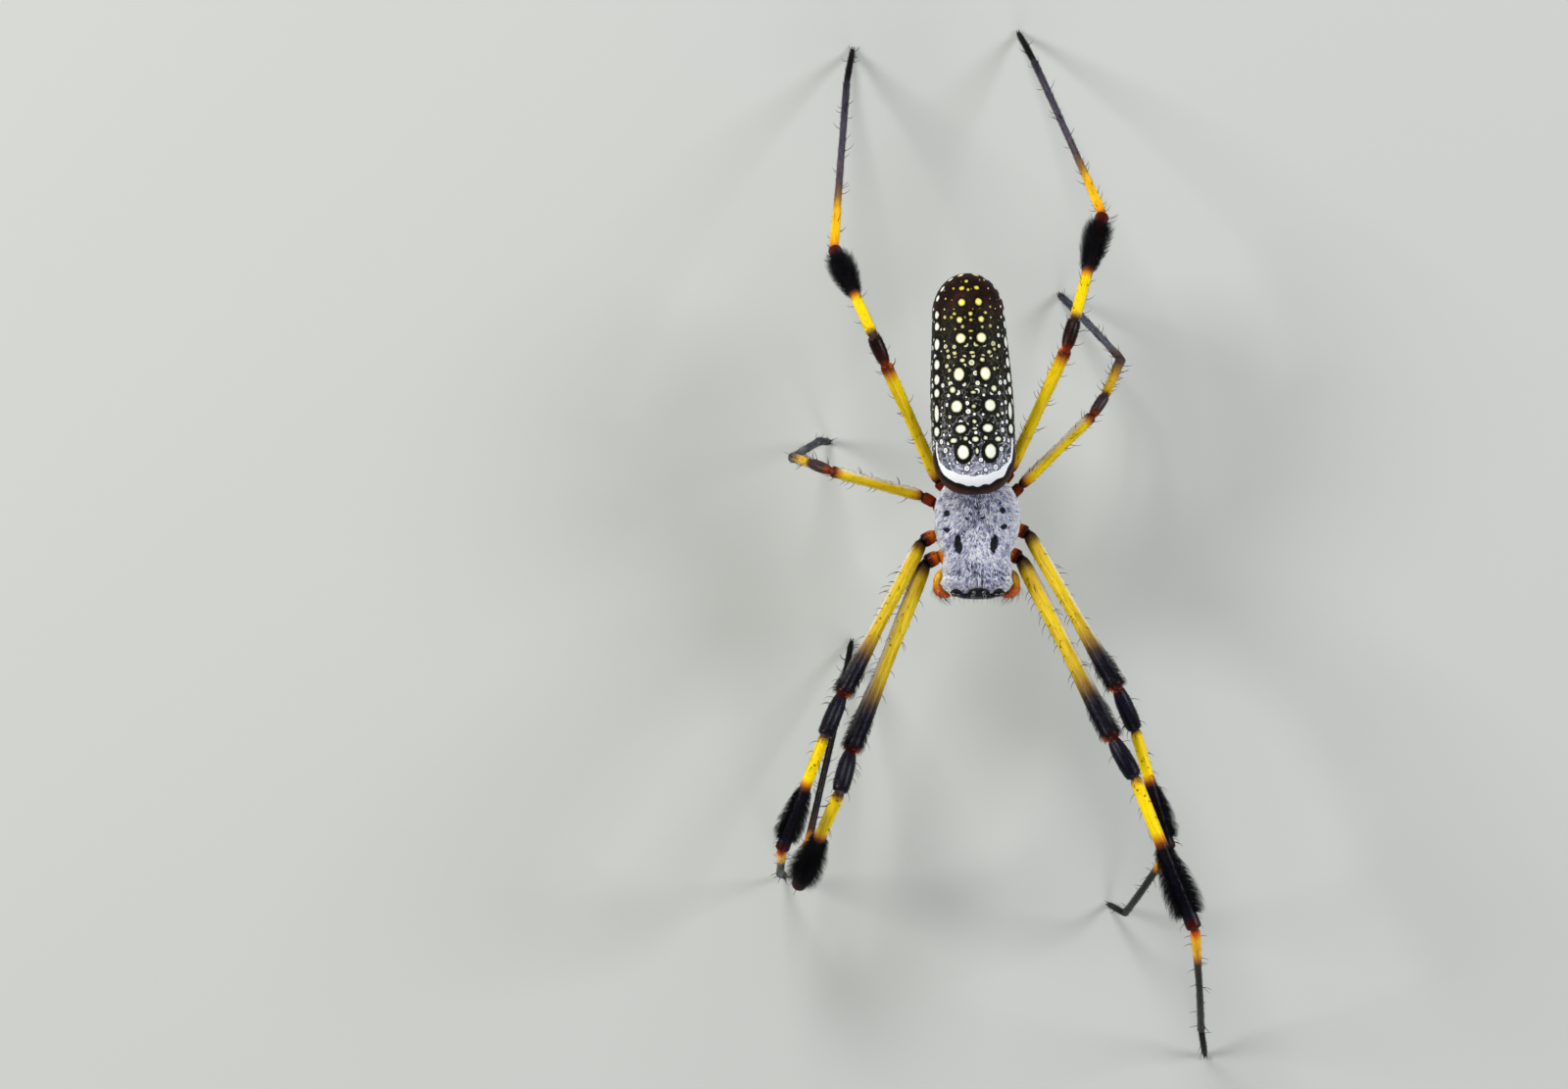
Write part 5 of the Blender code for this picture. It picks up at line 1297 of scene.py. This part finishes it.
# %% Abdomen skin: large spots
# Each ramp turns the signed distance, halved and raised by one half, into rings of colour: a
# wide black halo, a thin yellow-green rim and the white heart.
ragged = skin("Math", {0: fine, 1: 0.09, 2: 0.455}, operation="MULTIPLY_ADD")[0]
in_spot, by_band = (skin("Math", {0: read[key], 1: 0.5, 2: ragged}, operation="MULTIPLY_ADD")[0]
                    for key in ("spot", "band"))
halo = skin("MapRange", {"Value": read["in_halo"], "From Min": -0.05, "From Max": 0.03})[0]
haloed = skin("Mix", {0: halo, 6: dotted, 7: "#060504"}, data_type="RGBA")[2]
rim = skin("ValToRGB", {"Fac": in_spot}, [(0.49, "#000000"), (0.505, "#FFFFFF")])[0]
rim_colour = skin("ValToRGB", {"Fac": read["yellow"]}, [
    (0.0, "#C2C6A8"), (0.4, "#AEB27C"), (0.8, "#B09C22")])[0]
rimmed = skin("Mix", {0: rim, 6: haloed, 7: rim_colour}, data_type="RGBA")[2]
heart = skin("ValToRGB", {"Fac": in_spot}, [(0.525, "#000000"), (0.555, "#FFFFFF")])[0]
white_or_yellow = skin("ValToRGB", {"Fac": read["yellow"]}, [
    (0.0, "#E6E8E4"), (0.45, "#E8E9D8"), (0.70, "#E6E5C8"), (0.81, "#E6E29A"), (0.86, "#EAE078"),
    (0.945, "#E4D22A"), (0.975, "#F0F0E4")])[0]
spotted = skin("Mix", {0: heart, 6: rimmed, 7: white_or_yellow}, data_type="RGBA")[2]

# %% Abdomen skin: front, band and belly
# The front wall is brown below the white band, and the belly is a dull clouded brown.
front_colour = skin("ValToRGB", {"Fac": by_band}, [
    (0.10, "#3E1C0A"), (0.26, "#2E1208"), (0.34, "#060404")])[0]
fronted = skin("Mix", {0: read["front"], 6: spotted, 7: front_colour}, data_type="RGBA")[2]
in_band = skin("ValToRGB", {"Fac": by_band}, [(0.485, "#000000"), (0.515, "#FFFFFF")])[0]
banded = skin("Mix", {0: in_band, 6: fronted, 7: "#F2F3F8"}, data_type="RGBA")[2]
belly_tone = skin("ValToRGB", {"Fac": cloud}, [(0.35, "#140D08"), (0.55, "#2A1C12"), (0.75, "#4E3C28")])[0]
belly_share = skin("Math", {0: read["belly"], 1: heart}, operation="SUBTRACT", use_clamp=True)[0]
whole = skin("Mix", {0: belly_share, 6: banded, 7: belly_tone}, data_type="RGBA")[2]
gloss = skin("MapRange", {"Value": fine, "To Min": 0.38, "To Max": 0.68})[0]
bump = skin("Bump", {"Height": fine, "Strength": 0.4, "Distance": 0.00007})[0]
set_surface(spotted_skin, {"Base Color": whole, "Roughness": gloss, "Normal": bump})
grid_skin("abdomen_skin", abdomen, spotted_skin, abdomen_fields, ["abdomen"])

# %% [markdown]
# ## Down of the abdomen
# Very short fine hairs stand all over the abdomen, too thin to hide the marks. They catch the
# light along its outline, which is what makes skin look soft and not like plastic.

# %% Fine hairs
# Each hair takes the spot or the ground it grows from as its tone: dark brown or white.
fine_hair = hair_finish("fine abdomen hair", [(0.0, "#0C0906"), (0.4, "#2A2216"), (1.0, "#F4F4F0")],
                        {"Roughness": 0.5, "Specular IOR Level": 0.1})
down = scatter(abdomen, 7000, 400)
draw, count = down["draw"], down["count"]
on_white = smooth_step(0.0, 0.05, np.maximum(down["pick"](spot), down["pick"](band)))
tone = np.clip(0.35 * draw.random(count) ** 2 + 0.9 * on_white, 0, 1)
grown = 0.7 + 0.6 * draw.random(count)
grow_hairs("abdomen_down", down, down["along"], 0.26 * grown, 0.10 * grown, 0.022, fine_hair, tone,
           "abdomen_skin", sink=0.03)

# %% [markdown]
# ## Waist and spinnerets
# A narrow stalk joins the two halves of the body under the shield's rear edge. Below the rear of
# the abdomen six spinnerets stand in a close group on a low cone. Both are bars once more, and the
# spinnerets lean outwards from the middle of their group.

# %% Waist
PEDICEL_PATH = ((0.0, 2.9, 12.65), (0.0, 4.00, 12.75), (-0.05, 4.90, 13.10), (-0.15, 5.75, 14.3))
stalk = bar_grid(PEDICEL_PATH, [(0, 0.40), (0.35, 0.36), (0.6, 0.40), (1, 0.42)], 40, 24)
grid_skin("waist", stalk, jaw_cuticle, replaces=["pedicel"])

# %% Spinnerets
# Brown, dull and covered with short hair.
spinneret_cuticle = new_finish("dull spinneret cuticle", {"Roughness": 0.5})
dull = partial(add_node, spinneret_cuticle)
cloud = dull("TexNoise", {"Vector": place_in_mm(spinneret_cuticle), "Scale": 5.0, "Detail": 4.0})["Fac"]
tint = dull("ValToRGB", {"Fac": cloud}, [(0.3, "#34140C"), (0.7, "#6E3018")])[0]
bump = dull("Bump", {"Height": cloud, "Strength": 0.5, "Distance": 0.00005})[0]
set_surface(spinneret_cuticle, {"Base Color": tint, "Normal": bump})

SPINNERETS_AT = 16.6
downward = unit(backwards * 0.42 - UP)
rearward = unit(np.cross(SIDEWAYS, downward))
rearward = rearward * np.sign(rearward[1])
depth = abdomen_half(SPINNERETS_AT) * HEIGHT_SHARE - 0.3
cone_root = ABDOMEN_FRONT + backwards * SPINNERETS_AT - UP * depth
base = bar_grid([cone_root + downward * step for step in (0.0, 0.5, 1.0, 1.5)],
                [(0, 0.90), (0.4, 0.88), (0.8, 0.70), (1, 0.4)], 40, 40)
grid_skin("spinneret_base", base, spinneret_cuticle, replaces=["spinnerets"])
# Place across and back, half width and length of each.
CONES = ((-0.36, -0.34, 0.32, 1.25), (0.36, -0.34, 0.32, 1.25), (-0.36, 0.34, 0.29, 1.35),
         (0.36, 0.34, 0.29, 1.35), (-0.14, 0.02, 0.16, 0.9), (0.14, 0.02, 0.16, 0.9))
CONE_WIDTHS = ((0, 0.8), (0.2, 1.0), (0.7, 0.9), (0.76, 0.75), (0.82, 0.8), (1, 0.3))
for index, (across, back, wide, long) in enumerate(CONES):
    offset = SIDEWAYS * across + rearward * back
    start, lean = cone_root + offset + downward * 0.9, downward + offset * 0.45
    cone = bar_grid([start + lean * long * share for share in (0.0, 0.4, 0.75, 1.0)],
                    [(share, wide * part) for share, part in CONE_WIDTHS], 36, 24)
    grid_skin(f"spinneret_{index + 1}", cone, spinneret_cuticle)
    short_coat(f"spinneret_{index + 1}_hair", cone, 220, 420 + index, (0.24, 0.10, 0.025), black_hair, (0, 1),
               "underside_cuticle")

# %% [markdown]
# ## Claws
# Each foot ends in curved claws that hold the silk. They are small, but a foot that ends like a
# cut pencil looks wrong at once, so two short bent bars close each one.

# %% Claws of the eight feet
CLAW_BENDS = ((0.0, 0.0), (0.16, 0.10), (0.34, 0.04), (0.42, -0.07))
for key, (grid, _) in leg_grids.items():
    tip = grid[-1].mean(axis=0)
    ahead = unit(tip - grid[-12].mean(axis=0))
    level = unit(ahead * (1, 1, 0))
    side = np.cross(UP, level)
    for index, offset in enumerate((-0.1, 0.1)):
        start = tip + side * offset - ahead * 0.12 + UP * 0.10
        claw = bar_grid([start + level * forth + UP * rise for forth, rise in CLAW_BENDS],
                        [(0, 0.065), (0.5, 0.05), (1, 0.008)], 20, 10)
        claw[..., 2] = np.maximum(claw[..., 2], 0.0)
        grid_skin(f"claw_{key}_{index + 1}", claw, jaw_cuticle)
